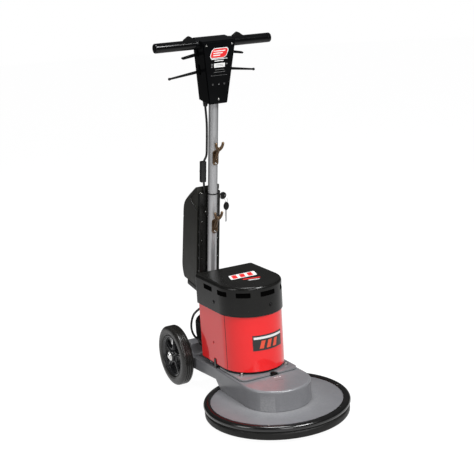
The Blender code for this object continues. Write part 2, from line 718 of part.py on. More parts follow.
def wheel_hub():
    """Rim, web with five windows, boss."""
    boss_r, rim_in, web_r = 0.0190, HUB_R - 0.006, HUB_R - 0.009
    rim_z = TREAD_HALF - 0.004
    boss_z0, boss_z1 = -TREAD_HALF + 0.001, TREAD_HALF - 0.0003
    web_z0, web_z1 = -0.005, 0.008
    body = turned([(HUB_R, rim_z), (HUB_R, -rim_z), (rim_in, -rim_z), (web_r, web_z0),
                   (boss_r, web_z0), (boss_r, boss_z0), (AXLE_BORE_R, boss_z0),
                   (AXLE_BORE_R, boss_z1), (boss_r, boss_z1), (boss_r, web_z1),
                   (web_r, web_z1), (rim_in, rim_z)], 25, 'X')
    # window corners: radius, angle from the window's middle
    corners = [(0.0260, -0.24), (0.0260, 0.24),
               (0.0560, 0.42), (0.0560, 0.14), (0.0560, -0.14), (0.0560, -0.42)]
    windows = []
    for i in range(5):
        a = 2 * pi * (i + 0.5) / 5
        loop = [(r * cos(a + t), r * sin(a + t)) for r, t in corners]
        windows.append(slab([loop], -0.03, 0.03, 'YZ'))
    return cut(body, *windows)


def build_wheel(name, side):
    for body, part, look in ((tyre(), "tyre_", "rubber"),
                             (wheel_hub(), "wheel_hub_", "hub_plastic")):
        finish(body, part + name, look)
        body.location = (side * WHEEL_X, AXLE_Y, AXLE_Z)


# ================================================================= handle
# Everything below is in the handle's own frame: x across, y behind the tube, z along it.
HANDLE = empty("handle_pivot", (0, AXLE_Y, AXLE_Z), (LEAN, 0, 0))


def build_tilt_yoke():
    barrel = YOKE_HALF - 0.0004
    body = join(box(-YOKE_HALF, YOKE_HALF, -0.0180, 0.0180, 0.0020, YOKE_TOP),
                rod_z(0, 0, 0.0300, 0.0950, 0.0205, 24),
                rod_x(-barrel, barrel, 0, 0, 0.0165))
    drum_space = rod_x(-0.0140, 0.0140, 0, 0, 0.0252, 28)
    axle_bore = rod_x(-0.09, 0.09, 0, 0, AXLE_BORE_R)
    shoe_bore = rod_z(0, 0, 0.0200, 0.0400, 0.0100)
    socket = rod_z(0, 0, 0.0300, 0.110, TUBE_BORE_R, 24)
    body = cut(body, drum_space, axle_bore, shoe_bore, socket)
    finish(body, "tilt_yoke", "grey_casting", HANDLE)


def build_handle_tube():
    body = sleeve(TUBE_R, TUBE_R - TUBE_WALL, TUBE_S0, TUBE_S1, 24)
    finish(body, "handle_tube", "tube_grey", HANDLE)


def head_slab(inset, z0, z1, y0, y1):
    """Slice of the tapering control head, inset from its flanks."""
    w0, w1 = [HEAD_W0 + (HEAD_W1 - HEAD_W0) * (z - HEAD_S0) / (HEAD_S1 - HEAD_S0) - inset
              for z in (z0, z1)]
    return slab([[(-w1, z1), (-w0, z0), (w0, z0), (w1, z1)]], y0, y1, 'XZ')


def build_head_shell():
    """Shell that carries the bar, with lever openings and the levers' pivot posts."""
    shell = head_slab(0.0, HEAD_S0, SHELL_TOP, HEAD_FRONT + 0.0045, HEAD_BACK)
    soften(shell, 0.0075, both_ends(lambda p: p.y > HEAD_BACK - 0.0005,
                                    lambda p: p.z > SHELL_TOP - 0.0005))
    collars = []
    for _, side in SIDES:
        collar = rod_x(side * 0.0480, side * 0.0640, BAR_Y, BAR_S, 0.0240, 20, 0.0166)
        above_head = box(-0.09, 0.09, -0.05, 0.05, SHELL_TOP, SHELL_TOP + 0.05)
        collars.append(cut(collar, above_head))
    shell = join(shell, *collars)
    inside = head_slab(0.0032, HEAD_S0 + 0.0032, BAR_S - 0.0180, HEAD_FRONT,
                       HEAD_BACK - 0.0034)
    bar_bore = rod_x(-0.09, 0.09, BAR_Y, BAR_S, BAR_R + GAP)
    tube_bore = rod_z(0, 0, 0.800, HEAD_S0 + 0.020, TUBE_BORE_R, 24)
    cable_hole = rod_z(CABLE_X, CABLE_Y, 0.840, 0.870, 0.0062, 14)
    shell = cut(shell, inside, bar_bore, tube_bore, cable_hole)
    for _, side in SIDES:
        for z0, z1 in ((0.9990, 1.0185), (0.9420, 0.9740)):
            shell = cut(shell, box(*span(side, 0.030, 0.080), 0.0035, 0.0165, z0, z1))
    post_back = HEAD_BACK - 0.002
    posts = [rod_y(side * SWITCH_PIVOT[0], -0.0020, post_back, SWITCH_PIVOT[1], POST_R, 12)
             for _, side in SIDES]
    posts.append(rod_y(0, 0.0042, post_back, LOCK_PIVOT[1], POST_R, 12))
    finish(join(shell, *posts), "head_shell", "black_gloss", HANDLE)


def build_head_panel():
    """Front panel with bevelled edges, and a hollow spigot that locates it in the shell."""
    panel = head_slab(0.0022, HEAD_S0 + 0.0020, HEAD_S1 - 0.0005, HEAD_FRONT,
                      HEAD_FRONT + 0.0042)
    soften(panel, 0.0016, both_ends(lambda p: p.y < HEAD_FRONT + 0.0004), 1)
    spigot = head_slab(0.0040, HEAD_S0 + 0.0045, BAR_S - 0.0190, HEAD_FRONT + 0.0030,
                       HEAD_FRONT + 0.0080)
    hollow = head_slab(0.0065, HEAD_S0 + 0.0070, BAR_S - 0.0215, HEAD_FRONT + 0.0020,
                       HEAD_FRONT + 0.0100)
    finish(join(panel, cut(spigot, hollow)), "head_panel", "black_gloss", HANDLE)


def build_handlebar():
    """Tube with chamfered ends and a slot in its top for each button."""
    chamfer = 0.0030
    shoulder = BAR_HALF - chamfer
    inner = BAR_R - 0.0040
    bar = turned([(BAR_R - chamfer, BAR_HALF), (BAR_R, shoulder), (BAR_R, -shoulder),
                  (BAR_R - chamfer, -BAR_HALF), (inner, -BAR_HALF), (inner, BAR_HALF)],
                 20, 'X')
    shift(bar, y=BAR_Y, z=BAR_S)
    for _, side in SIDES:
        x = side * BUTTON_X
        bar = cut(bar, box(x - 0.0178, x + 0.0178, BAR_Y - 0.0052, BAR_Y + 0.0052,
                           BAR_S, BAR_S + 0.03))
    finish(bar, "handlebar", "black_gloss", HANDLE)


# (x from the button's middle, z above the bar's top); the right button is its mirror
BUTTON_OUTLINE = [
    (-0.0174, -0.0042), (0.0174, -0.0042), (0.0174, 0.0025), (0.0125, 0.0052),
    (0.0035, 0.0118), (-0.0015, 0.0122), (-0.0070, 0.0092), (-0.0135, 0.0042),
    (-0.0174, 0.0025)]


def build_safety_button(name, side):
    """Peaked push button in the bar's top."""
    bar_top = BAR_S + BAR_R
    body = slab([[(x, bar_top + z) for x, z in BUTTON_OUTLINE]],
                BAR_Y - 0.0048, BAR_Y + 0.0048, 'XZ')
    if side > 0:
        moved(body, Matrix.Scale(-1, 4, (1, 0, 0)))
        face_outwards(body)
    x = side * BUTTON_X
    shift(body, x=x)
    finish(body, "safety_button_" + name, "black_matt", HANDLE, (x, BAR_Y, BAR_S), smooth=25)


def lever(side, pivot, tip, depth, root_half, tip_half, knob=0.0):
    """Flat tapering lever from its pivot boss to its tip; knob is the tip ball's radius."""
    start = Vector((side * pivot[0], pivot[1]))
    end = Vector((side * tip[0], tip[1]))
    along = (end - start).normalized()
    across = Vector((-along.y, along.x))
    corners = [start + across * root_half, start - across * root_half,
               end - across * tip_half, end + across * tip_half]
    y0, y1 = depth
    body = slab([[(p.x, p.y) for p in corners]], y0, y1, 'XZ')
    body = join(body, rod_y(start.x, y0, y1, start.y, root_half + 0.0008, 16))
    if knob:
        body = join(body, ball((end.x, (y0 + y1) / 2, end.y), knob))
    return cut(body, rod_y(start.x, y0 - 0.002, y1 + 0.002, start.y, POST_R + GAP, 12))


def build_levers(name, side):
    switch = lever(side, SWITCH_PIVOT, (0.1050, 0.9972), SWITCH_DEPTH, 0.0048, 0.0030)
    soften(switch, 0.0016, both_ends(lambda p: abs(p.x) > 0.060), 1)
    finish(switch, "switch_lever_" + name, "black_gloss", HANDLE,
           (side * SWITCH_PIVOT[0], 0.0, SWITCH_PIVOT[1]))
    lock = lever(side, LOCK_PIVOT, (0.1480, 0.9392), LOCK_DEPTH[name], 0.0042, 0.0022, 0.0044)
    finish(lock, "lock_lever_" + name, "black_gloss", HANDLE,
           (side * LOCK_PIVOT[0], 0.0, LOCK_PIVOT[1]))


def build_lock_rod():
    """Rod down the tube: shoe at the drum, cross pin resting over both lock levers."""
    top = 0.9690
    shoe = rod_z(0, 0, 0.0330, 0.0246, 0.0090, 16)
    cross_pin = box(-0.0130, 0.0130, -0.0030, 0.0165, 0.9648, top)
    body = join(rod_z(0, 0, 0.0290, top, 0.0036, 14), shoe, cross_pin)
    finish(body, "lock_rod", "steel", HANDLE)


# (x, y, z) along the head cable, above and below its inline plug
HEAD_CABLE_UPPER = [
    (CABLE_X, CABLE_Y, 0.8660), (CABLE_X, CABLE_Y, 0.8350), (-0.0155, 0.0200, 0.8100),
    (-0.0130, 0.0190, 0.7700), (-0.0125, 0.0190, 0.7000), (-0.0135, 0.0195, 0.6750),
    (-0.0200, 0.0200, 0.6600), (-0.0230, 0.0200, 0.6480)]
HEAD_CABLE_LOWER = [
    (-0.0220, 0.0200, 0.5950), (-0.0200, 0.0215, 0.5740), (-0.0180, 0.0220, 0.5560)]


def build_head_cable():
    """Head cable with its moulded boot, and the inline plug on it."""
    radius = 0.0030
    upper = wire(HEAD_CABLE_UPPER, radius)
    plug = slab([rounded(-0.0345, -0.0155, 0.0112, 0.0286, 0.004, 2)], 0.5890, 0.6560)
    soften(plug, 0.004, both_ends(lambda p: p.z > 0.655, lambda p: p.z < 0.590), 1)
    boot = rod_z(CABLE_X, CABLE_Y, 0.8530, 0.8360, 0.0085, 14, 0.0070)
    body = join(upper, boot, plug, wire(HEAD_CABLE_LOWER, radius))
    finish(body, "head_cable", "black_matt", HANDLE)


# (x, y, z) along the upper hook's stem, and along its prong on the +X side
HOOK_STEM = [
    (0, -0.0205, 0.6800), (0, -0.0270, 0.6900), (0, -0.0345, 0.7060), (0, -0.0380, 0.7120)]
HOOK_PRONG = [
    (0, -0.0360, 0.7085), (0.0070, -0.0400, 0.7140), (0.0105, -0.0420, 0.7220),
    (0.0118, -0.0430, 0.7310)]


def build_cable_hooks():
    """Coat-hook cable hooks on the tube's front, each with a screw head low on its base."""
    for name, offset in (("upper", 0.0), ("lower", -0.2315)):
        base = slab([rounded(-0.0085, 0.0085, 0.6520, 0.7000, 0.006)],
                    -0.0194, -TUBE_R - GAP, 'XZ')
        stem = wire(HOOK_STEM, 0.0052)
        prongs = [wire([(side * x, y, z) for x, y, z in HOOK_PRONG], 0.0036)
                  for _, side in SIDES]
        screw_head = rod_y(0, -0.0170, -0.0205, 0.6590, 0.0038, 12, 0.0026)
        body = join(join(base, stem, *prongs), screw_head)
        finish(shift(body, z=offset), "cable_hook_" + name, "bronze", HANDLE)


def build_battery_cradle():
    """Cradle that the battery slides in, clamped to the tube in two places."""
    half, front, back = CRADLE_HALF, CRADLE_FRONT, CRADLE_BACK
    foot = (0.1960, 0.2180)
    body = join(box(-half, half, front, back, 0.2150, 0.5500),
                box(-half, half, back - 0.002, 0.1200, *foot),
                box(-half, half, front, back, *foot))
    cable_channel = box(-0.0130, 0.0130, front - 0.002, front + 0.006, 0.2300, 0.5350)
    body = cut(body, cable_channel)
    for z0, z1 in ((0.2500, 0.3300), (0.3450, 0.4250), (0.4400, 0.5150)):
        for _, side in SIDES:
            body = cut(body, box(*span(side, 0.0345, 0.040), front + 0.0035, back - 0.0035,
                                 z0, z1))
    for z in (0.2600, 0.4900):
        clamp = box(-0.0200, 0.0200, 0.0, front + 0.001, z - 0.012, z + 0.012)
        body = join(body, cut(clamp, rod_z(0, 0, z - 0.02, z + 0.02, TUBE_BORE_R, 24)))
    finish(body, "battery_cradle", "black_matt", HANDLE)


# (y, z) side view: slanted towards the back at the top, rounded at its rear foot
BATTERY_FRONT = 0.0300
BATTERY_BOTTOM = 0.2190
BATTERY_SIDE = [
    (BATTERY_FRONT, 0.5680), (0.0420, 0.5640), (0.0854, 0.5269), (0.1130, 0.5000),
    (0.1240, 0.4850), (0.1300, 0.4560), (0.1385, 0.2620), (0.1350, 0.2420),
    (0.1266, 0.2240), (0.1215, BATTERY_BOTTOM), (BATTERY_FRONT, BATTERY_BOTTOM)]


def build_battery_pack():
    body = slab([BATTERY_SIDE], -0.0395, 0.0395, 'YZ')
    # edges round the two side faces
    soften(body, 0.0070, lambda a, b: abs(a.x - b.x) < 1e-6)
    finish(body, "battery_pack", "battery_case", HANDLE, (0, BATTERY_FRONT, BATTERY_BOTTOM))


def build_cable_tie():
    body = sleeve(TUBE_R + 0.0018, TUBE_BORE_R, 0.5508, 0.5546, 24)
    finish(body, "cable_tie", "black_matt", HANDLE)


def key_bow(outline):
    return slab([outline], KEY_Y - KEY_BOW_HALF, KEY_Y + KEY_BOW_HALF, 'XZ')


def key_blade(x0, x1, z0, z1):
    return box(x0, x1, KEY_Y - KEY_BLADE_HALF, KEY_Y + KEY_BLADE_HALF, z0, z1)


def build_lock_key():
    """Lock barrel with its key, in the cradle's right flank."""
    barrel = rod_x(CRADLE_HALF + GAP, CRADLE_HALF + 0.0030, KEY_Y, KEY_Z, 0.0066, 16)
    body = join(barrel, key_bow(circle(0.0500, KEY_Z, 0.0120, 20)),
                key_blade(0.0385, 0.0450, KEY_Z - 0.0035, KEY_Z + 0.0035))
    body = cut(body, rod_y(0.0580, KEY_Y - 0.01, KEY_Y + 0.01, KEY_Z, 0.0022, 12))
    finish(body, "lock_key", "black_matt", HANDLE, (CRADLE_HALF, KEY_Y, KEY_Z))


def build_spare_key():
    """Spare key hanging on a ring through the hole in the lock key's bow."""
    hang = radians(11)
    ring = sleeve(0.0130, 0.0118, -0.0006, 0.0006, 24, 'X')
    center = KEY_HOLE + Vector((sin(hang), 0, -cos(hang))) * 0.0124
    moved(ring, Matrix.Translation(center) @ Matrix.Rotation(-hang, 4, 'Y'))
    oval = [(0.0632 + 0.0096 * cos(a), 0.4901 + 0.0140 * sin(a))
            for a in [2 * pi * i / 20 for i in range(20)]]
    body = join(ring, key_bow(oval), key_blade(0.0600, 0.0660, 0.4353, 0.4813))
    finish(body, "spare_key", "black_matt", HANDLE, tuple(KEY_HOLE))


# (x, y, z) from the cradle's foot towards the tilt axis
POWER_CABLE_PATH = [
    (-0.0250, 0.0230, 0.1954), (-0.0250, 0.0240, 0.1714), (-0.0270, 0.0260, 0.1364),
    (-0.0300, 0.0280, 0.1064), (-0.0320, 0.0290, 0.0814)]


def build_power_cable():
    finish(wire(POWER_CABLE_PATH, 0.0034), "power_cable", "black_matt", HANDLE)


# ================================================================= assembly
for build in (
        build_deck, build_bumper, build_chassis, build_motor_plate, build_adjuster_bolt,
        build_seal_ring, build_motor_stator, build_jacket_front, build_jacket_rear,
        build_top_cover, build_cover_screws, build_drive_belt, build_spindle_bearings,
        build_axle, build_lock_drum, build_motor_cable, build_spindle,
        build_spindle_pulley, build_pad, build_motor_shaft, build_armature,
        build_motor_pulley, build_cooling_fan, build_tilt_yoke, build_handle_tube,
        build_head_shell, build_head_panel, build_handlebar, build_lock_rod,
        build_head_cable, build_cable_hooks, build_battery_cradle, build_battery_pack,
        build_cable_tie, build_lock_key, build_spare_key, build_power_cable):
    build()

for build_side in (build_plate_nut, build_jacket_clip, build_axle_nut, build_wheel,
                   build_safety_button, build_levers):
    for side_name, side_sign in SIDES:
        build_side(side_name, side_sign)
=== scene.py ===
# Looks of the rotary floor machine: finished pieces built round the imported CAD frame.
# A round deck with a cast nose and a motor stands on a pad, two wheels carry the back,
# and a leaning handle holds the control head and the battery.
# Frame: +Z up, front towards -Y, "left" is -X, origin where the drive spindle's axis meets
# the floor. Metres.
import bpy
import bmesh
import random
from math import sin, cos, pi, radians, sqrt, atan2
from mathutils import Matrix, Vector


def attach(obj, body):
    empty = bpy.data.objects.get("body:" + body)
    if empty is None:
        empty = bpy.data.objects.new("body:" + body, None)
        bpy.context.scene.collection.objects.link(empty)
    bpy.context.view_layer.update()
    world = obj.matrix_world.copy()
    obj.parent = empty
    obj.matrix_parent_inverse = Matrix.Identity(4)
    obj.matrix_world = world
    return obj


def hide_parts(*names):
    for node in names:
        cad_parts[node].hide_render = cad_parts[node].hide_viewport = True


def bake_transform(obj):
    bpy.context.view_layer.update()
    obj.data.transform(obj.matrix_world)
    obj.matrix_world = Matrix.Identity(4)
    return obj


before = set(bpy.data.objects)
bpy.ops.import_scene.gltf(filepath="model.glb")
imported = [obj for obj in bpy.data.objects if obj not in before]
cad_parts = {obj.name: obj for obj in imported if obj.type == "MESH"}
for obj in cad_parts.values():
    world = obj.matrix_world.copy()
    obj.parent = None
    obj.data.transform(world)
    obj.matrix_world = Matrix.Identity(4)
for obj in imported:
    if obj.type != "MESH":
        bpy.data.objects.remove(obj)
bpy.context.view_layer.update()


# ---------------------------------------------------------------- dimensions shared with the CAD
# Suffixes: R radius, Z0/Z1 lower and upper height, S0/S1 the same along the handle, HW half width.
GAP = 0.0003                    # clearance between separate pieces
SIDES = (("left", -1), ("right", 1))

DECK_R, DECK_TOP, DECK_HOLE_R = 0.2130, 0.0520, 0.0460
BUMPER_R, BUMPER_IN, BUMPER_LIP, BUMPER_BOTTOM = 0.2265, 0.2135, 0.2040, 0.0138
NOSE_R, NOSE_TOP, NOSE_BACK, NOSE_WALL = 0.1070, 0.1180, 0.2050, 0.0050
ARM_OUT, ARM_IN = 0.1055, 0.0835
WHEEL_R, TREAD_W, WHEEL_X, HUB_R = 0.1000, 0.0410, 0.1315, 0.0700
AXLE_Y, AXLE_Z, AXLE_R = 0.4318, WHEEL_R, 0.0080
PLATE_HW, PLATE_FRONT, PLATE_BACK, PLATE_Z0, PLATE_Z1 = 0.0997, 0.0280, 0.2960, 0.1185, 0.1250
NOTCH_X, NOTCH_W, TENSIONER_Y = 0.0120, 0.0260, 0.0335
NUT_X, NUT_Y = 0.0790, 0.0710
MOTOR_Y, JACKET_Y, JACKET_R, JACKET_BACK = 0.1490, 0.1440, 0.1018, 0.2985
JACKET_Z0, JACKET_Z1, JACKET_SEAM, SKIN = 0.1330, 0.3110, 0.1215, 0.0025
COVER_R, COVER_BACK, COVER_Z0, COVER_Z1 = 0.1056, 0.3030, JACKET_Z1 + GAP, 0.4065
PAD_R, PAD_TOP = 0.1778, 0.0195

# The handle is modelled upright about the axle, then leaned towards the front.
LEAN = radians(9.248)
TUBE_R, TUBE_S0, TUBE_S1 = 0.0152, 0.0350, 0.8800
YOKE_HALF, YOKE_TOP = 0.0822, 0.0370
HEAD_S0, HEAD_S1, HEAD_W0, HEAD_W1 = 0.8550, 1.0500, 0.0316, 0.0565
HEAD_FRONT, HEAD_BACK = -0.0340, 0.0360
BAR_Y, BAR_S, BAR_R, BAR_HALF = 0.0070, 1.0370, 0.0148, 0.1986
BUTTON_X = 0.0832
SWITCH_PIVOT, LOCK_PIVOT, POST_R = (0.0200, 1.0115), (0.0, 0.9585), 0.0022   # pivots are (x, s)
SWITCH_Y, LOCK_Y = (0.0045, 0.0145), {-1: (0.0052, 0.0102), 1: (0.0108, 0.0158)}
CRADLE_HW, CRADLE_FRONT, CRADLE_BACK, CRADLE_S0, CRADLE_S1 = 0.0370, 0.0165, 0.0290, 0.2150, 0.5500
KEY_S, KEY_Y = 0.5286, 0.0228

HANDLE = Matrix.Translation((0, AXLE_Y, AXLE_Z)) @ Matrix.Rotation(LEAN, 4, 'X')

WORK = bpy.data.collections.new("work")
SHOWN = bpy.data.collections.new("floor_machine_looks")
for collection in (WORK, SHOWN):
    bpy.context.scene.collection.children.link(collection)


# ---------------------------------------------------------------- solids
def clean(bm):
    bmesh.ops.remove_doubles(bm, verts=bm.verts, dist=0.00001)
    bmesh.ops.dissolve_degenerate(bm, edges=bm.edges, dist=0.00001)
    bmesh.ops.recalc_face_normals(bm, faces=bm.faces)


def add_object(data):
    obj = bpy.data.objects.new("piece", data)
    WORK.objects.link(obj)
    return obj


def from_bm(bm):
    mesh = bpy.data.meshes.new("piece")
    bm.to_mesh(mesh)
    bm.free()
    return add_object(mesh)


def baked(obj):
    """Replace an object by the mesh it evaluates to."""
    bpy.context.view_layer.update()
    depsgraph = bpy.context.evaluated_depsgraph_get()
    mesh = bpy.data.meshes.new_from_object(obj.evaluated_get(depsgraph))
    bm = bmesh.new()
    bm.from_mesh(mesh)
    bpy.data.meshes.remove(mesh)
    clean(bm)
    solid = from_bm(bm)
    bpy.data.objects.remove(obj, do_unlink=True)
    return solid


def moved(obj, matrix):
    obj.data.transform(matrix)
    return obj


def shift(obj, x=0.0, y=0.0, z=0.0):
    return moved(obj, Matrix.Translation((x, y, z)))


def flip(obj):
    """Turn the normals outwards."""
    bm = bmesh.new()
    bm.from_mesh(obj.data)
    bmesh.ops.recalc_face_normals(bm, faces=bm.faces)
    bm.to_mesh(obj.data)
    bm.free()


def box(x0, x1, y0, y1, z0, z1, r=0.0, segments=2):
    """Block between the limits (x0 and x1 in either order); r rounds all its edges."""
    x0, x1 = sorted((x0, x1))
    bm = bmesh.new()
    bmesh.ops.create_cube(bm, size=1.0)
    bmesh.ops.scale(bm, vec=(x1 - x0, y1 - y0, z1 - z0), verts=bm.verts)
    bmesh.ops.translate(bm, vec=((x0 + x1) / 2, (y0 + y1) / 2, (z0 + z1) / 2), verts=bm.verts)
    if r:
        bmesh.ops.bevel(bm, geom=bm.edges[:], offset=r, segments=segments, profile=0.5,
                        affect='EDGES')
        bmesh.ops.recalc_face_normals(bm, faces=bm.faces)
    return from_bm(bm)


def rod(start, end, r, steps=48, phase=0.0):
    start, end = Vector(start), Vector(end)
    line = end - start
    bm = bmesh.new()
    bmesh.ops.create_cone(bm, cap_ends=True, segments=steps, radius1=r, radius2=r,
                          depth=line.length)
    bmesh.ops.rotate(bm, verts=bm.verts, cent=(0, 0, 0), matrix=Matrix.Rotation(phase, 3, 'Z'))
    bmesh.ops.rotate(bm, verts=bm.verts, cent=(0, 0, 0),
                     matrix=Vector((0, 0, 1)).rotation_difference(line).to_matrix())
    bmesh.ops.translate(bm, verts=bm.verts, vec=(start + end) / 2)
    return from_bm(bm)


def pole(x, y, z0, z1, r, steps=48, phase=0.0):
    """Rod along Z."""
    return rod((x, y, z0), (x, y, z1), r, steps, phase)


def crossbar(x0, x1, y, z, r, steps=48, phase=0.0):
    """Rod along X."""
    return rod((x0, y, z), (x1, y, z), r, steps, phase)


def ball(centre, r, u, v):
    bm = bmesh.new()
    bmesh.ops.create_uvsphere(bm, u_segments=u, v_segments=v, radius=r)
    bmesh.ops.translate(bm, verts=bm.verts, vec=centre)
    return from_bm(bm)


def turned(profile, steps, axis='Z', closed=True):
    """Solid of revolution about Z or X: profile is (radius, place on the axis)."""
    count = len(profile)
    edges = [(i, i + 1) for i in range(count - 1)]
    if closed:
        edges.append((count - 1, 0))
    mesh = bpy.data.meshes.new("piece")
    mesh.from_pydata([(r, 0.0, z) for r, z in profile], edges, [])
    obj = add_object(mesh)
    screw = obj.modifiers.new("Screw", 'SCREW')
    screw.steps = steps
    screw.render_steps = steps
    screw.use_merge_vertices = True
    screw.merge_threshold = 0.00001
    screw.axis = 'Z'
    obj = baked(obj)
    if axis == 'X':
        obj.data.transform(Matrix.Rotation(pi / 2, 4, 'Y'))
    return obj


def aim(direction):
    """Rotation that turns +Z to the direction."""
    return Vector((0, 0, 1)).rotation_difference(direction).to_matrix().to_4x4()


def lathe(profile, at, direction, steps=48):
    """Closed solid turned about a line: profile is (radius, distance along the line)."""
    return moved(turned(profile, steps),
                 Matrix.Translation(Vector(at)) @ aim(Vector(direction).normalized()))


def washer(r, side, top_r, height, bore, at, direction, steps=48):
    """Ring whose side rises straight to `side`, then slopes in to top_r."""
    return lathe([(r, 0.0), (r, side), (top_r, height), (bore, height), (bore, 0.0)],
                 at, direction, steps)


def screw_head(r, side, shoulder_r, shoulder, height, at, direction, steps, base=0.0):
    """Low round head: straight side, sloped shoulder, nearly flat top."""
    return lathe([(r, base), (r, side), (shoulder_r, shoulder), (0.0, height), (0.0, base)],
                 at, direction, steps)


TO_PLANE = {
    'YZ': Matrix(((0, 0, 1, 0), (1, 0, 0, 0), (0, 1, 0, 0), (0, 0, 0, 1))),
    'XZ': Matrix(((1, 0, 0, 0), (0, 0, 1, 0), (0, 1, 0, 0), (0, 0, 0, 1))),
}


def slab(loops, t0, t1, plane='XY'):
    """Flat piece from t0 to t1 across the plane; loops inside the first are holes."""
    t0, t1 = sorted((t0, t1))
    curve = bpy.data.curves.new("piece", 'CURVE')
    curve.dimensions = '2D'
    curve.fill_mode = 'BOTH'
    curve.extrude = (t1 - t0) / 2
    for loop in loops:
        spline = curve.splines.new('POLY')
        spline.points.add(len(loop) - 1)
        for point, q in zip(spline.points, loop):
            point.co = (q[0], q[1], 0.0, 1.0)
        spline.use_cyclic_u = True
    obj = shift(baked(add_object(curve)), 0, 0, (t0 + t1) / 2)
    if plane != 'XY':
        obj.data.transform(TO_PLANE[plane])
    if plane == 'XZ':
        flip(obj)
    return obj


def domed(loop, z0, z1, r, steps):
    """Upright block on a counter-clockwise outline whose top edge rolls over with radius r."""
    points = []
    for q in loop:
        q = Vector((q[0], q[1]))
        if not points or (q - points[-1]).length > 1e-6:
            points.append(q)
    if (points[0] - points[-1]).length < 1e-6:
        points.pop()
    count = len(points)
    inward = []
    for i in range(count):
        before = (points[i] - points[i - 1]).normalized()
        after = (points[(i + 1) % count] - points[i]).normalized()
        na, nb = Vector((-before.y, before.x)), Vector((-after.y, after.x))
        inward.append((na + nb) / (1.0 + na.dot(nb)))
    levels = [(0.0, z0)]                        # (inset, height)
    for j in range(steps + 1):
        angle = pi / 2 * j / steps
        levels.append((r * (1 - cos(angle)), z1 - r + r * sin(angle)))
    bm = bmesh.new()
    rows = [[bm.verts.new((q.x + m.x * inset, q.y + m.y * inset, z))
             for q, m in zip(points, inward)] for inset, z in levels]
    for low, high in zip(rows, rows[1:]):
        for i in range(count):
            j = (i + 1) % count
            bm.faces.new((low[i], low[j], high[j], high[i]))
    bm.faces.new(list(reversed(rows[0])))
    bm.faces.new(rows[-1])
    bmesh.ops.recalc_face_normals(bm, faces=bm.faces)
    return from_bm(bm)


def smooth_path(points, pieces):
    """Catmull-Rom curve through the points, with so many pieces per span."""
    p = [Vector(q) for q in points]
    p = [p[0] * 2 - p[1]] + p + [p[-1] * 2 - p[-2]]
    path = []
    for i in range(1, len(p) - 2):
        a, b, c, d = p[i - 1], p[i], p[i + 1], p[i + 2]
        for k in range(pieces):
            t = k / pieces
            path.append(0.5 * ((2 * b) + (c - a) * t + (2 * a - 5 * b + 4 * c - d) * t * t
                               + (3 * b - a - 3 * c + d) * t ** 3))
    path.append(p[-2])
    return path


def hose(points, radii, steps=20, pieces=8):
    """Round bar with domed ends through the points; radii is one radius or an even list."""
    path = smooth_path(points, pieces)
    if isinstance(radii, float):
        radii = [radii, radii]
    spans = len(radii) - 1
    widths = []
    for i in range(len(path)):
        t = i / (len(path) - 1) * spans
        j = min(int(t), spans - 1)
        widths.append(radii[j] + (radii[j + 1] - radii[j]) * (t - j))

    def dome(end, beside, r, angles):
        out = (end - beside).normalized()
        return [(end + out * r * sin(a), r * cos(a)) for a in angles]

    angles = (1.35, 1.0, 0.6, 0.25)
    head = dome(path[0], path[1], widths[0], angles)
    tail = dome(path[-1], path[-2], widths[-1], angles[::-1])
    stations = head + list(zip(path, widths)) + tail
    path = [s[0] for s in stations]
    last = len(path) - 1
    bm = bmesh.new()
    rings = []
    tangent = (path[1] - path[0]).normalized()
    across = tangent.orthogonal().normalized()
    for i, (centre, r) in enumerate(stations):
        t = (path[min(i + 1, last)] - path[max(i - 1, 0)]).normalized()
        across = tangent.rotation_difference(t) @ across
        across = (across - t * across.dot(t)).normalized()
        tangent = t
        side = t.cross(across)
        turns = [2 * pi * k / steps for k in range(steps)]
        rings.append([bm.verts.new(centre + (across * cos(a) + side * sin(a)) * r)
                      for a in turns])
    for a, b in zip(rings, rings[1:]):
        for k in range(steps):
            j = (k + 1) % steps
            bm.faces.new((a[k], a[j], b[j], b[k]))
    bm.faces.new(list(reversed(rings[0])))
    bm.faces.new(rings[-1])
    bmesh.ops.recalc_face_normals(bm, faces=bm.faces)
    return from_bm(bm)


def boolean(obj, others, operation):
    for other in others:
        modifier = obj.modifiers.new("Boolean", 'BOOLEAN')
        modifier.operation = operation
        modifier.solver = 'EXACT'
        modifier.object = other
    result = baked(obj)
    for other in others:
        bpy.data.objects.remove(other, do_unlink=True)
    return result


def cut(obj, *others):
    return boolean(obj, others, 'DIFFERENCE')


def join(obj, *others):
    return boolean(obj, others, 'UNION')


def merge(*objects):
    """Put separate closed shells into one mesh, without a boolean."""
    bm = bmesh.new()
    for obj in objects:
        bm.from_mesh(obj.data)
    result = from_bm(bm)
    for obj in objects:
        bpy.data.objects.remove(obj, do_unlink=True)
    return result


def soften(obj, width, picks=lambda a, b: True, segments=3):
    """Round the sharp edges whose two ends satisfy picks."""
    bm = bmesh.new()
    bm.from_mesh(obj.data)
    edges = [e for e in bm.edges if len(e.link_faces) == 2 and e.calc_face_angle(0) > 0.35
             and picks(e.verts[0].co, e.verts[1].co)]
    bmesh.ops.bevel(bm, geom=edges, offset=width, segments=segments, profile=0.5,
                    affect='EDGES', clamp_overlap=True)
    clean(bm)
    bm.to_mesh(obj.data)
    bm.free()
    return obj


# ---------------------------------------------------------------- outlines
def arc(cx, cy, r, a0, a1, n):
    return [(cx + r * cos(a0 + (a1 - a0) * i / n), cy + r * sin(a0 + (a1 - a0) * i / n))
            for i in range(n + 1)]


def oval(cx, cy, rx, ry, n=40):
    return [(cx + rx * cos(2 * pi * i / n), cy + ry * sin(2 * pi * i / n)) for i in range(n)]


def circle(cx, cy, r, n):
    return oval(cx, cy, r, r, n)


def back_corners(cx, cy, r, n):
    """The two rounded corners at the back of an outline, right one first."""
    return arc(cx, cy, r, 0, pi / 2, n) + arc(-cx, cy, r, pi / 2, pi, n)


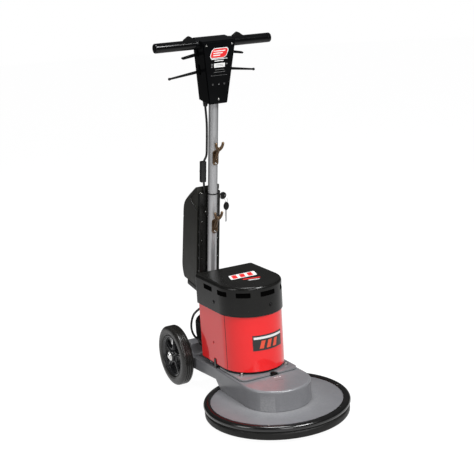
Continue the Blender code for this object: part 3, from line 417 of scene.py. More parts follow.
def d_loop(r, back, corner, n=72):
    """Half circle at the front about the jacket's centre, square back with round corners."""
    return (arc(0.0, JACKET_Y, r, pi, 2 * pi, n)
            + back_corners(r - corner, back - corner, corner, 10))


def rounded(x0, x1, y0, y1, r, n=8):
    return (arc(x1 - r, y1 - r, r, 0, pi / 2, n) + arc(x0 + r, y1 - r, r, pi / 2, pi, n)
            + arc(x0 + r, y0 + r, r, pi, 1.5 * pi, n) + arc(x1 - r, y0 + r, r, 1.5 * pi, 2 * pi, n))


def round_corners(points, r, n=5):
    """Polygon with its corners replaced by curves of about radius r."""
    out = []
    count = len(points)
    for i in range(count):
        a, b, c = Vector(points[i - 1]), Vector(points[i]), Vector(points[(i + 1) % count])
        u, v = (a - b), (c - b)
        k = min(r, u.length * 0.45, v.length * 0.45)
        p, q = b + u.normalized() * k, b + v.normalized() * k
        for j in range(n + 1):
            t = j / n
            out.append(tuple((1 - t) ** 2 * p + 2 * t * (1 - t) * b + t * t * q))
    return out


# ---------------------------------------------------------------- finishes
BLACK, WHITE = (0, 0, 0), (1, 1, 1)


def set_inputs(node, inputs):
    """Link the values that are sockets, store the others."""
    for key, value in inputs.items():
        if isinstance(value, bpy.types.NodeSocket):
            node.id_data.links.new(value, node.inputs[key])
        else:
            node.inputs[key].default_value = value


def add_node(tree, kind, inputs={}, operation=None):
    node = tree.nodes.new("ShaderNode" + kind)
    if operation:
        node.operation = operation
    set_inputs(node, inputs)
    return node


def ramp(tree, factor, low, high, stops=(0.3, 0.7)):
    node = add_node(tree, "ValToRGB", {0: factor})
    for element, stop, colour in zip(node.color_ramp.elements, stops, (low, high)):
        element.position = stop
        element.color = (*colour, 1)
    return node.outputs[0]


MATS = {}


def finish(name, dark, light, rough, vary=0.06, metal=0.0, coat=0.0, coat_rough=0.08,
           mottle=35.0, grain=900.0, bump=0.15, depth=0.0002, swell=0.0, swell_scale=60.0,
           stretch=(1, 1, 1), spec=0.5, wear=None, dust=None, sheen=0.0):
    """Procedural finish.

    dark, light: mottled colours; vary: spread of the roughness; mottle, grain, swell_scale:
    noise scales; bump, depth: strength and height of the grain; swell: strength of the broad
    waves; stretch: scale of the texture space; wear: colour of exposed edges;
    dust: colour and amount on upward faces.
    """
    material = bpy.data.materials.new(name)
    material.use_nodes = True
    tree = material.node_tree
    texture = add_node(tree, "TexCoord")
    space = add_node(tree, "Mapping", {"Scale": stretch, "Vector": texture.outputs["Object"]})

    def noise(scale, detail=5.0, roughness=0.55):
        return add_node(tree, "TexNoise", {
            "Scale": scale, "Detail": detail, "Roughness": roughness,
            "Vector": space.outputs[0]}).outputs["Fac"]

    def tinted(base, mask_a, mask_b, tint):
        """The base colour turned to tint where both masks are light."""
        mask = add_node(tree, "Math", {0: mask_a, 1: mask_b}, 'MULTIPLY').outputs[0]
        return add_node(tree, "MixRGB", {0: mask, 1: base, 2: (*tint, 1)}).outputs[0]

    def bumped(height, strength, distance, normal=None):
        node = add_node(tree, "Bump", {"Strength": strength, "Distance": distance,
                                       "Height": height})
        if normal:
            set_inputs(node, {"Normal": normal})
        return node.outputs[0]

    colour = ramp(tree, noise(mottle), dark, light)
    if wear:
        geometry = add_node(tree, "NewGeometry")
        edges = ramp(tree, geometry.outputs["Pointiness"], BLACK, WHITE, (0.505, 0.56))
        colour = tinted(colour, edges, noise(180.0), wear)
    if dust:
        geometry = add_node(tree, "NewGeometry")
        split = add_node(tree, "SeparateXYZ", {0: geometry.outputs["Normal"]})
        upward = ramp(tree, split.outputs["Z"], BLACK, WHITE, (0.55, 1.0))
        patches = ramp(tree, noise(14.0, 8.0, 0.7), BLACK, (dust[3],) * 3, (0.45, 0.75))
        colour = tinted(colour, upward, patches, dust[:3])
    roughness = add_node(tree, "MapRange", {
        "From Min": 0.3, "From Max": 0.7,
        "To Min": max(0.02, rough - vary), "To Max": min(1.0, rough + vary),
        "Value": noise(mottle * 2.3, 6.0, 0.65)})
    normal = None
    if swell:
        normal = bumped(noise(swell_scale, 2.0), swell, 0.001)
    normal = bumped(noise(grain, 3.0, 0.6), bump, depth, normal)
    set_inputs(tree.nodes["Principled BSDF"], {
        "Base Color": colour, "Roughness": roughness.outputs[0], "Metallic": metal,
        "Specular IOR Level": spec, "Coat Weight": coat, "Coat Roughness": coat_rough,
        "Sheen Weight": sheen, "Normal": normal})
    MATS[name] = material


finish("paint_grey", (0.164, 0.166, 0.178), (0.187, 0.189, 0.201), rough=0.36, metal=0.12,
       coat=0.25, coat_rough=0.20, mottle=22, grain=700, bump=0.06, swell=0.015, swell_scale=90,
       wear=(0.36, 0.36, 0.37), dust=(0.30, 0.29, 0.27, 0.06))
finish("rubber_gloss", (0.0050, 0.0050, 0.0050), (0.0080, 0.0078, 0.0074), rough=0.20, vary=0.05,
       coat=0.30, coat_rough=0.12, mottle=30, grain=500, bump=0.05, swell=0.04, swell_scale=45)
finish("rubber_matt", (0.0085, 0.0083, 0.0080), (0.0125, 0.0122, 0.0116), rough=0.50, vary=0.08,
       mottle=28, grain=800, bump=0.22, dust=(0.06, 0.06, 0.055, 0.10), spec=0.25)
finish("tyre_rubber", (0.014, 0.0133, 0.0122), (0.022, 0.0208, 0.0186), rough=0.29, vary=0.07,
       mottle=34, grain=700, bump=0.12, dust=(0.08, 0.075, 0.07, 0.08), spec=0.55)
finish("moulded_black", (0.0075, 0.0075, 0.0070), (0.0105, 0.0105, 0.0097), rough=0.24, vary=0.04,
       mottle=18, grain=1100, bump=0.16, dust=(0.04, 0.04, 0.038, 0.08), spec=0.28)
finish("gloss_black", (0.0018, 0.0019, 0.0021), (0.0030, 0.0031, 0.0033), rough=0.17, vary=0.04,
       coat=0.30, coat_rough=0.07, mottle=20, grain=500, bump=0.02, swell=0.015, spec=0.18)
finish("panel_black", (0.0020, 0.0022, 0.0025), (0.0034, 0.0036, 0.0040), rough=0.22, vary=0.04,
       mottle=20, grain=600, bump=0.02, spec=0.09)
finish("satin_black", (0.0042, 0.0042, 0.0043), (0.0068, 0.0068, 0.0068), rough=0.30, vary=0.05,
       mottle=26, bump=0.08, spec=0.22)
finish("red_enamel", (0.860, 0.011, 0.013), (0.900, 0.015, 0.017), rough=0.32, vary=0.03,
       coat=0.85, coat_rough=0.02, mottle=9, grain=450, bump=0.02, swell=0.02, swell_scale=40,
       spec=0.15)
finish("aluminium", (0.46, 0.46, 0.47), (0.53, 0.53, 0.535), rough=0.34, vary=0.05, metal=0.70,
       mottle=120, grain=1500, bump=0.12, depth=0.0001, stretch=(1, 1, 0.02))
finish("zinc_plate", (0.56, 0.56, 0.54), (0.66, 0.65, 0.62), rough=0.28, vary=0.08, metal=1.0,
       mottle=160, bump=0.06)
finish("ground_steel", (0.50, 0.50, 0.51), (0.60, 0.60, 0.60), rough=0.25, vary=0.08, metal=1.0,
       mottle=200, grain=1600, bump=0.10, depth=0.0001)
finish("dull_zinc", (0.26, 0.26, 0.25), (0.36, 0.355, 0.34), rough=0.42, vary=0.08, metal=0.9,
       mottle=160, bump=0.08)
# Near-black finish without shine, used only for the painted shade behind the cover's slots.
finish("slot_shade_black", (0.0010, 0.0010, 0.0010), (0.0018, 0.0017, 0.0016), rough=0.9, vary=0.03,
       mottle=300, bump=0.3, spec=0.02)
finish("dark_zinc", (0.07, 0.07, 0.068), (0.11, 0.108, 0.10), rough=0.40, vary=0.08, metal=0.9,
       mottle=160, bump=0.08)
finish("chrome", (0.78, 0.78, 0.77), (0.84, 0.84, 0.83), rough=0.10, vary=0.04, metal=1.0,
       mottle=80, grain=700, bump=0.02)
finish("bronze", (0.055, 0.034, 0.020), (0.120, 0.072, 0.040), rough=0.36, vary=0.10, metal=0.80,
       mottle=170, grain=1100, bump=0.20, wear=(0.36, 0.25, 0.15))
finish("battery_plastic", (0.020, 0.0195, 0.0165), (0.0265, 0.026, 0.0215), rough=0.40,
       mottle=20, grain=1000, bump=0.22)
finish("hub_plastic", (0.016, 0.0165, 0.018), (0.024, 0.025, 0.027), rough=0.24, vary=0.05,
       coat=0.35, coat_rough=0.12, mottle=40, grain=800, bump=0.06)
finish("pad_fibre", (0.075, 0.014, 0.012), (0.150, 0.030, 0.024), rough=0.95, vary=0.03,
       mottle=420, grain=1300, bump=1.0, depth=0.0012, sheen=0.4)
finish("holder_plastic", (0.045, 0.045, 0.047), (0.062, 0.062, 0.065), rough=0.5, vary=0.07,
       mottle=40, bump=0.2)
finish("nylon", (0.42, 0.40, 0.35), (0.52, 0.50, 0.44), rough=0.45, vary=0.08,
       mottle=50, grain=700, bump=0.10)
finish("copper_winding", (0.40, 0.15, 0.06), (0.62, 0.26, 0.11), rough=0.32, vary=0.10,
       metal=1.0, mottle=240, grain=500, bump=0.7, depth=0.0008, stretch=(1, 1, 0.08))
finish("magnet_dark", (0.10, 0.10, 0.105), (0.15, 0.15, 0.155), rough=0.5, vary=0.08, metal=0.6,
       mottle=90, bump=0.2)
finish("belt_rubber", (0.020, 0.020, 0.020), (0.034, 0.033, 0.032), rough=0.62,
       mottle=60, bump=0.4, stretch=(1, 1, 6))
finish("cable_sheath", (0.006, 0.006, 0.006), (0.010, 0.010, 0.010), rough=0.34,
       mottle=60, grain=700, bump=0.08)
finish("print_white", (0.78, 0.78, 0.77), (0.84, 0.84, 0.83), rough=0.35, vary=0.05,
       mottle=70, bump=0.03)
finish("print_red", (0.70, 0.020, 0.022), (0.78, 0.028, 0.030), rough=0.32, vary=0.05,
       mottle=70, bump=0.03)
finish("print_grey", (0.11, 0.11, 0.11), (0.15, 0.15, 0.15), rough=0.40, vary=0.05,
       mottle=70, bump=0.03)
finish("print_dark", (0.020, 0.020, 0.020), (0.027, 0.027, 0.027), rough=0.33, vary=0.05,
       mottle=60, bump=0.04)
finish("print_orange", (0.74, 0.075, 0.035), (0.80, 0.095, 0.045), rough=0.35, vary=0.05,
       mottle=70, bump=0.03)


# ---------------------------------------------------------------- putting pieces in place
def place(obj, name, look, body, slot, *replaced, bevel=0.0, segments=2, smooth=32):
    """Name a piece, finish it, put it on its body and hide the CAD nodes it stands for."""
    WORK.objects.unlink(obj)
    SHOWN.objects.link(obj)
    obj.name = name
    obj.data.name = name
    obj.data.materials.clear()
    obj.data.materials.append(MATS[look])
    obj.data.shade_smooth()
    obj.data.set_sharp_from_angle(angle=radians(smooth))
    if bevel:
        edges = obj.modifiers.new("Edges", 'BEVEL')
        edges.width = bevel
        edges.segments = segments
        edges.limit_method = 'ANGLE'
        edges.angle_limit = radians(30)
        edges.use_clamp_overlap = True
        edges.harden_normals = False
        normals = obj.modifiers.new("Normals", 'WEIGHTED_NORMAL')
        normals.keep_sharp = False
        normals.weight = 80
    if body:
        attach(obj, body)
    if replaced:
        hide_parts(*replaced)
    return obj


def place_on_handle(obj, name, look, slot, *replaced, body="handle", **edges):
    """Place a piece that was modelled in the handle's own frame."""
    place(moved(obj, HANDLE), name, look, body, slot, *replaced, **edges)


# ================================================================= base
# Deck: disc with a turned-down rim.
deck = turned([
    (0.2075, DECK_TOP), (0.2095, DECK_TOP - 0.0002), (DECK_R - 0.0016, DECK_TOP - 0.0009),
    (DECK_R - 0.0005, DECK_TOP - 0.0020), (DECK_R, DECK_TOP - 0.0034), (DECK_R, 0.0200),
    (DECK_R - 0.0020, 0.0200), (DECK_R - 0.0020, 0.0484), (DECK_R - 0.0026, 0.0494),
    (DECK_R - 0.0036, 0.0500), (DECK_HOLE_R, 0.0500), (DECK_HOLE_R, DECK_TOP),
    (0.1500, DECK_TOP)], 224)
place(deck, "deck_shell", "paint_grey", "base", "grey_paint", "deck_cover")

# Bumper: glossy lip over the deck, groove, matt lower band.
BUMPER_GROOVE_Z = 0.0368
bumper = turned([
    (BUMPER_LIP, DECK_TOP + GAP), (BUMPER_LIP, 0.0535), (0.2043, 0.0545), (0.2052, 0.0553),
    (0.2068, 0.0559), (0.2100, 0.0565), (0.2145, 0.0569), (0.2180, 0.0567), (0.2208, 0.0559),
    (0.2232, 0.0544), (0.2250, 0.0523), (0.2261, 0.0500), (BUMPER_R, 0.0478), (0.2262, 0.0450),
    (0.2250, 0.0420), (0.2228, 0.0394), (0.2210, 0.0379), (0.2202, 0.0367), (0.2204, 0.0355),
    (0.2213, 0.0346), (0.2225, 0.0338), (0.2231, 0.0320), (0.2234, 0.0290), (0.2233, 0.0230),
    (0.2228, 0.0165), (0.2216, 0.0146), (0.2196, BUMPER_BOTTOM), (BUMPER_IN, BUMPER_BOTTOM),
    (BUMPER_IN, 0.0497), (0.2110, DECK_TOP + GAP)], 224)
place(bumper, "bumper_rubber", "rubber_gloss", "base", "black_rubber", "bumper_ring", smooth=50)
bumper.data.materials.append(MATS["rubber_matt"])
for face in bumper.data.polygons:
    if face.center.z < BUMPER_GROOVE_Z:
        face.material_index = 1

# Three button heads on the bumper's lip.
PIN_CIRCLE_R, PIN_Z = 0.2092, 0.0560
PIN = [(0.0, 0.0016), (0.0010, 0.0015), (0.0018, 0.0010), (0.0022, 0.0002), (0.0022, -0.0006),
       (0.0, -0.0006)]
pins = []
for k in range(3):
    angle = radians(-37 + 120 * k)
    pins.append(lathe(PIN, (PIN_CIRCLE_R * sin(angle), -PIN_CIRCLE_R * cos(angle), PIN_Z),
                      (0, 0, 1), 24))
place(merge(*pins), "bumper_pins", "zinc_plate", "base", "black_rubber")

# Cast nose with two arms, cross member and axle bosses. Side outlines are (y, z).
NOSE_CORNER = 0.010
nose = domed(arc(0, 0, NOSE_R, pi, 2 * pi, 96)
             + back_corners(ARM_OUT - NOSE_CORNER, NOSE_BACK - NOSE_CORNER, NOSE_CORNER, 6),
             DECK_TOP + GAP, NOSE_TOP, 0.0070, 7)
soften(nose, 0.0016, lambda a, b: max(a.z, b.z) < DECK_TOP + 0.0009, 2)
HEEL = [(0.160, 0.040), (0.2200, 0.040), (0.2200, 0.0850), (0.1990, 0.0805), (0.1740, 0.0560),
        (0.160, 0.0520)]
nose = cut(nose,
           slab([arc(0, 0, NOSE_R - NOSE_WALL, pi, 2 * pi, 64)
                 + [(ARM_OUT - NOSE_WALL, 0.158), (-ARM_OUT + NOSE_WALL, 0.158)]],
                DECK_TOP - 0.010, NOSE_TOP - NOSE_WALL),
           slab([arc(0, 0.152, 0.030, 0, pi, 24) + [(-0.030, 0.140), (0.030, 0.140)]],
                0.081, NOSE_TOP - NOSE_WALL),
           pole(0, MOTOR_Y, 0.105, 0.130, 0.0240),
           slab([round_corners(HEEL, 0.012, 8)], -0.13, 0.13, 'YZ'))
ARM_SIDE = [(0.1900, 0.1165), (0.1900, 0.0805), (0.3900, 0.0670), (0.4260, 0.0810),
            (0.4430, 0.0840), (0.4500, 0.0930), (0.4510, 0.1050), (0.4430, 0.1165),
            (0.4300, 0.1200), (0.4120, 0.1150), (0.3900, 0.1060), (0.3500, 0.1080),
            (0.2150, 0.1165)]
arms = []
for name, side in SIDES:
    arm = slab([round_corners(ARM_SIDE, 0.010, 6)], side * ARM_IN, side * ARM_OUT, 'YZ')
    arms.append(soften(arm, 0.0022, lambda a, b: abs(a.x - b.x) < 1e-6))
cross_member = box(-ARM_IN - 0.002, ARM_IN + 0.002, 0.3720, 0.3850, 0.0720, 0.1040, 0.002)
nose = join(nose, *arms, cross_member)
bosses = [washer(0.0155, 0.0013, 0.0145, 0.0022, 0.0086,
                 (side * ARM_OUT, AXLE_Y, AXLE_Z), (side, 0, 0)) for name, side in SIDES]
nose = cut(nose, crossbar(-0.12, 0.12, AXLE_Y, AXLE_Z, AXLE_R + GAP))
place(merge(nose, *bosses), "cast_body", "paint_grey", "base", "grey_paint", "chassis_casting",
      bevel=0.0008)

# Motor plate, notched at the front, over a slightly smaller sole.
PLATE_CORNER, NOTCH_FILLET, NOTCH_HW = 0.020, 0.003, NOTCH_W / 2
fillet_y = PLATE_FRONT + NOTCH_FILLET
outline = (
    arc(-PLATE_HW + PLATE_CORNER, PLATE_FRONT + PLATE_CORNER, PLATE_CORNER, pi, 1.5 * pi, 14)
    + arc(NOTCH_X - NOTCH_HW - NOTCH_FILLET, fillet_y, NOTCH_FILLET, -pi / 2, 0, 6)
    + arc(NOTCH_X, PLATE_FRONT + 0.004, NOTCH_HW, pi, 0, 24)
    + arc(NOTCH_X + NOTCH_HW + NOTCH_FILLET, fillet_y, NOTCH_FILLET, -pi, -pi / 2, 6)
    + arc(PLATE_HW - PLATE_CORNER, PLATE_FRONT + PLATE_CORNER, PLATE_CORNER, 1.5 * pi, 2 * pi, 14)
    + [(PLATE_HW, 0.175), (ARM_IN - 0.002, 0.190), (ARM_IN - 0.002, PLATE_BACK),
       (-ARM_IN + 0.002, PLATE_BACK), (-ARM_IN + 0.002, 0.190), (-PLATE_HW, 0.175)])


def sole_point(x, y):
    """Pull the plate's outline in; round the notch it is shifted, not scaled."""
    if abs(x - NOTCH_X) > 0.022 or y > 0.060:
        x = x * 0.975
    else:
        x = x + (0.0022 if x > NOTCH_X else -0.0022)
    return x, 0.1600 + (y - 0.1600) * 0.980


plate = slab([outline, circle(0, MOTOR_Y, 0.0235, 48)], PLATE_Z0 + 0.0022, PLATE_Z1)
sole = slab([[sole_point(x, y) for x, y in outline], circle(0, MOTOR_Y, 0.0237, 48)],
            PLATE_Z0, PLATE_Z0 + 0.0026)
place(merge(plate, sole), "motor_deck_plate", "paint_grey", "base", "grey_paint", "motor_plate",
      bevel=0.0011, segments=3)

# Tensioner: washer and hexagon with a hexagon socket, in the notch.
ring = washer(0.0087, 0.0013, 0.0082, 0.0017, 0.0060,
              (NOTCH_X, TENSIONER_Y, NOSE_TOP + GAP), (0, 0, 1))
hexagon = cut(pole(NOTCH_X, TENSIONER_Y, 0.1190, 0.1262, 0.0070, 6),
              pole(NOTCH_X, TENSIONER_Y, 0.1235, 0.1300, 0.0030, 6))
place(merge(ring, hexagon), "tensioner_screw", "satin_black", "base", "black_steel",
      "adjuster_bolt", bevel=0.0005)
# Thin black sheet on the casting's top, inside the plate's notch: painted shade of the notch.
notch_shade_piece = slab([arc(NOTCH_X, 0.0330, 0.0150, 0, pi, 24)
              + [(NOTCH_X - 0.0150, 0.0262), (NOTCH_X - 0.0130, 0.0242),
                 (NOTCH_X + 0.0130, 0.0242), (NOTCH_X + 0.0150, 0.0262)],
              circle(NOTCH_X, TENSIONER_Y, 0.0089, 32)], NOSE_TOP + 0.00005, NOSE_TOP + 0.0004)
place(notch_shade_piece, "notch_shade_sheet", "satin_black", "base", "black_steel")


# Marks printed on the casting's top, in front of the notch.
def nose_mark(x0, x1, x, y):
    mark = slab([rounded(x0, x1, -0.0016, 0.0016, 0.0012, 4)],
                NOSE_TOP - 0.0001, NOSE_TOP + 0.0002)
    return moved(mark, Matrix.Translation((x, y, 0)) @ Matrix.Rotation(radians(-9), 4, 'Z'))


MARK_X, MARK_PITCH, MARK_LENGTH = -0.0155, 0.0085, 0.0055
starts = [MARK_X + i * MARK_PITCH for i in range(3)]
place(merge(*[nose_mark(x, x + MARK_LENGTH, 0.0150, 0.0065) for x in starts]),
      "tension_marks", "print_white", "base", "grey_paint")
place(nose_mark(-0.0140, 0.0140, 0.0040, -0.0150), "tension_bar", "print_grey", "base",
      "grey_paint")

# Domed nuts on the plate and folded spring clips at the jacket's lower edge.
NUT_DOME = [(0.0048, 0.0), (0.0048, 0.0008), (0.0044, 0.0020), (0.0035, 0.0031),
            (0.0022, 0.0038), (0.0010, 0.0041), (0.0, 0.0042), (0.0, 0.0)]
CLIP_Y, CLIP_Y0, CLIP_Y1 = 0.1990, 0.1930, 0.2050
CLIP_SIDE = [(CLIP_Y0, 0.1184), (CLIP_Y1, 0.1184), (CLIP_Y1, 0.1400), (0.2030, 0.1477),
             (0.1950, 0.1477), (CLIP_Y0, 0.1400)]               # (y, z)
CLIP_IN, CLIP_OUT = 0.1030, 0.1043
for name, side in SIDES:
    x = side * NUT_X
    ring = washer(0.0078, 0.0008, 0.0074, 0.0011, 0.0030, (x, NUT_Y, PLATE_Z1 + GAP),
                  (0, 0, 1), 40)
    hexagon = soften(pole(x, NUT_Y, PLATE_Z1 + 0.0010, 0.1288, 0.0062, 6, phase=0.2),
                     0.0006, segments=2)
    dome = lathe(NUT_DOME, (x, NUT_Y, 0.1285), (0, 0, 1), 32)
    place(merge(ring, hexagon, dome), "domed_nut_" + name, "dull_zinc", "base", "zinc",
          "plate_nut_" + name)
    blade = cut(slab([round_corners(CLIP_SIDE, 0.002, 4)], side * CLIP_IN, side * CLIP_OUT, 'YZ'),
                slab([circle(CLIP_Y, 0.1400, 0.0022, 20)], -0.12, 0.12, 'YZ'))
    blade = join(blade, box(side * 0.0880, side * CLIP_OUT, CLIP_Y0, CLIP_Y1, 0.1184, 0.1198))
    rivet = screw_head(0.0030, 0.0010, 0.0024, 0.0018, 0.0021,
                       (side * 0.0935, CLIP_Y, 0.1197), (0, 0, 1), 24)
    place(merge(blade, rivet), "spring_clip_" + name, "dark_zinc", "base", "zinc",
          "jacket_clip_" + name, bevel=0.0003)

# Gasket under the jacket.
gasket = slab([d_loop(0.0975, 0.2945, 0.010), d_loop(0.0905, 0.2875, 0.006)],
              PLATE_Z1 + GAP, JACKET_Z0 - GAP)
place(gasket, "gasket_ring", "rubber_matt", "base", "seal_rubber", "seal_ring", bevel=0.0008)


# Jacket: front and rear shells with a gap between them on each side, filled with black strips that
# paint the gap's shade.
def seam_angle(r, depth):
    """Angle below the X axis where a circle of radius r is `depth` in front of its centre."""
    return atan2(depth, sqrt(r * r - depth * depth))


JACKET_INNER, JOINT, JACKET_CORNER = JACKET_R - SKIN, 0.0024, 0.012
front_seam = JACKET_Y - JACKET_SEAM
rear_seam = front_seam - JOINT
outer, inner = seam_angle(JACKET_R, front_seam), seam_angle(JACKET_INNER, front_seam)
front_shell = slab([arc(0, JACKET_Y, JACKET_R, pi + outer, 2 * pi - outer, 96)
                    + arc(0, JACKET_Y, JACKET_INNER, 2 * pi - inner, pi + inner, 96)],
                   JACKET_Z0, JACKET_Z1)
place(front_shell, "jacket_front_shell", "red_enamel", "base", "red_plastic", "jacket_front",
      bevel=0.0007, segments=3)

# Black strips set just below the surface in the seam gaps: painted shade that darkens the seams.
strip_front, strip_rear = seam_angle(JACKET_R, front_seam), seam_angle(JACKET_R, rear_seam)
slack = 0.0002 / JACKET_R
strips = []
for a0, a1 in ((pi + strip_rear + slack, pi + strip_front - slack),
               (2 * pi - strip_front + slack, 2 * pi - strip_rear - slack)):
    strips.append(slab([arc(0, JACKET_Y, JACKET_R - 0.0002, a0, a1, 3)
                        + arc(0, JACKET_Y, JACKET_INNER + 0.0002, a1, a0, 3)],
                       JACKET_Z0 + 0.0004, JACKET_Z1 - 0.0004))
place(merge(*strips), "jacket_seam_shade_strips", "rubber_matt", "base", "red_plastic")

outer, inner = seam_angle(JACKET_R, rear_seam), seam_angle(JACKET_INNER, rear_seam)
corner_x, corner_y = JACKET_R - JACKET_CORNER, JACKET_BACK - JACKET_CORNER
rear_shell = slab([arc(0, JACKET_Y, JACKET_R, 2 * pi - outer, 2 * pi, 10)
                   + back_corners(corner_x, corner_y, JACKET_CORNER, 12)
                   + arc(0, JACKET_Y, JACKET_R, pi, pi + outer, 10)
                   + arc(0, JACKET_Y, JACKET_INNER, pi + inner, pi, 10)
                   + arc(-corner_x, corner_y, JACKET_CORNER - SKIN, pi, pi / 2, 12)
                   + arc(corner_x, corner_y, JACKET_CORNER - SKIN, pi / 2, 0, 12)
                   + arc(0, JACKET_Y, JACKET_INNER, 2 * pi, 2 * pi - inner, 10)],
                  JACKET_Z0, JACKET_Z1)
JACKET_SCREW_Y, JACKET_SCREW_Z = 0.2030, 0.2011
openings = [box(-0.110, 0.110, 0.1920, 0.2060, JACKET_Z0 - 0.01, 0.1500, 0.001)]
for k in range(3):              # slots low in the back wall
    z = 0.150 + 0.010 * k
    openings.append(slab([rounded(-0.060, 0.060, z, z + 0.003, 0.00148, 6)],
                         JACKET_BACK - 0.008, JACKET_BACK + 0.004, 'XZ'))
for name, side in SIDES:
    openings.append(crossbar(side * 0.090, side * 0.110, JACKET_SCREW_Y, JACKET_SCREW_Z,
                             0.0042, 32))
place(cut(rear_shell, *openings), "jacket_rear_shell", "red_enamel", "base", "red_plastic",
      "jacket_rear", bevel=0.0007, segments=3)

heads = []
for name, side in SIDES:
    head = screw_head(0.0031, 0.0010, 0.0026, 0.0017, 0.0019,
                      (side * (JACKET_R - 0.0034), JACKET_SCREW_Y, JACKET_SCREW_Z),
                      (side, 0, 0), 32)
    x = side * 0.0998
    heads.append(cut(head, box(x - 0.0006, x + 0.0012, 0.2005, 0.2055, 0.2005, 0.2017)))
place(merge(*heads), "jacket_screws", "satin_black", "base", "black_steel")


# Front plate: dark curved plate with a light band and three slanted bars.
def on_jacket(loop, low, high):
    """Outline of (degrees from -Y, height) bent round the jacket, from low to high off it."""
    sheet = slab([[(radians(a) * JACKET_R, z) for a, z in loop]], 0.0, high - low)
    bm = bmesh.new()
    bm.from_mesh(sheet.data)
    bmesh.ops.triangulate(bm, faces=[f for f in bm.faces if len(f.verts) > 4])
    for k in range(1, 28):      # cuts that let the sheet bend
        x = radians(-26 + 63 * k / 28) * JACKET_R
        bmesh.ops.bisect_plane(bm, geom=bm.verts[:] + bm.edges[:] + bm.faces[:],
                               plane_co=(x, 0, 0), plane_no=(1, 0, 0))
    for vert in bm.verts:
        angle, z, r = vert.co.x / JACKET_R, vert.co.y, JACKET_R + low + vert.co.z
        vert.co = Vector((r * sin(angle), JACKET_Y - r * cos(angle), z))
    clean(bm)
    bm.to_mesh(sheet.data)
    bm.free()
    return sheet


PRINT_LOW, PRINT_HIGH = 0.0007, 0.0011
plate_loop = [(-25.5, 0.2010), (36.0, 0.2010), (36.0, 0.2500), (-25.5, 0.2500)]
place(on_jacket(round_corners(plate_loop, 0.0, 1), 0.0001, 0.0008),
      "front_plate", "print_dark", "base", "red_plastic")
place(on_jacket([(-23.5, 0.2375), (34.5, 0.2375), (34.5, 0.2450), (-23.5, 0.2450)],
                PRINT_LOW, PRINT_HIGH), "front_plate_band", "print_white", "base", "red_plastic")
bars = []
for k in range(3):
    a = -14.0 + k * 13.0
    bars.append(on_jacket([(a, 0.2070), (a + 7.5, 0.2070), (a + 11.5, 0.2320), (a + 4.0, 0.2320)],
                          PRINT_LOW, PRINT_HIGH))
place(merge(*bars), "front_plate_bars", "print_orange", "base", "red_plastic")


# Top cover: domed shell with a ring of slots, and behind them a near-black sheet that paints the
# shade inside the slots.
def cover_slot(half, x, y, angle=0.0):
    """Cutter for a slot of half length `half` in the cover's wall."""
    block = slab([rounded(-half, half, 0.3723, 0.3882, 0.0016, 5)], -0.008, 0.008, 'XZ')
    return moved(block, Matrix.Translation((x, y, 0)) @ Matrix.Rotation(angle, 4, 'Z'))


cover = domed(d_loop(COVER_R, COVER_BACK, 0.012, 96), COVER_Z0, COVER_Z1, 0.0105, 9)
cover = cut(cover, slab([d_loop(COVER_R - SKIN, COVER_BACK - SKIN, 0.0095, 96)],
                        COVER_Z0 - 0.010, COVER_Z1 - 0.003))
slots = []
for degrees, half in ((-80, 0.0235), (-37, 0.0226), (7, 0.0265), (54, 0.0230)):  # from -Y
    angle = radians(degrees - 90)
    slots.append(cover_slot(half, (COVER_R - 0.003) * cos(angle),
                            JACKET_Y + (COVER_R - 0.003) * sin(angle), angle + pi / 2))
for side, y, half in ((-1, 0.2120, 0.0275), (1, 0.1900, 0.0220), (1, 0.2540, 0.0180)):
    slots.append(cover_slot(half, side * (COVER_R - 0.001), y, pi / 2))
for x in (-0.062, 0.0, 0.062):
    slots.append(cover_slot(0.0200, x, COVER_BACK))
place(cut(cover, *slots), "cover_shell", "moulded_black", "base", "cover_plastic", "top_cover",
      bevel=0.0006)


def slot_shade_block(inset, corner, z0, z1):
    return slab([d_loop(COVER_R - SKIN - inset, COVER_BACK - SKIN - inset, corner, 96)], z0, z1)


# Thin near-black ring inside the cover's wall behind the slots: painted shade, not a real screen.
place(cut(slot_shade_block(0.0006, 0.0089, 0.3665, 0.3940),
          slot_shade_block(0.0024, 0.0071, 0.3600, 0.3990)),
      "slot_shade_sheet", "slot_shade_black", "base", "cover_plastic")


# Patch printed on the cover: a leaning white field with three red bars, two rules in front.
def cover_print(points, r, n, lift=0.0):
    return slab([round_corners(points, r, n)],
                COVER_Z1 - 0.0001 + lift, COVER_Z1 + 0.0002 + lift)


white = [cover_print([(-0.0500, 0.1560), (0.0430, 0.1560), (0.0560, 0.2000), (-0.0370, 0.2000)],
                     0.007, 6),
         cover_print([(-0.0100, 0.1170), (0.0250, 0.1090), (0.0270, 0.1150), (-0.0080, 0.1230)],
                     0.003, 5)]
place(merge(*white), "emblem_white", "print_white", "base", "cover_plastic")
red = [cover_print([(x, 0.1610), (x + 0.0170, 0.1610), (x + 0.0270, 0.1950),
                    (x + 0.0100, 0.1950)], 0.002, 3, lift=0.0002)
       for x in (-0.0400, -0.0125, 0.0150)]
red.append(cover_print([(-0.0200, 0.1340), (0.0350, 0.1220), (0.0370, 0.1310),
                        (-0.0180, 0.1430)], 0.003, 5))
place(merge(*red), "emblem_red", "print_red", "base", "cover_plastic")

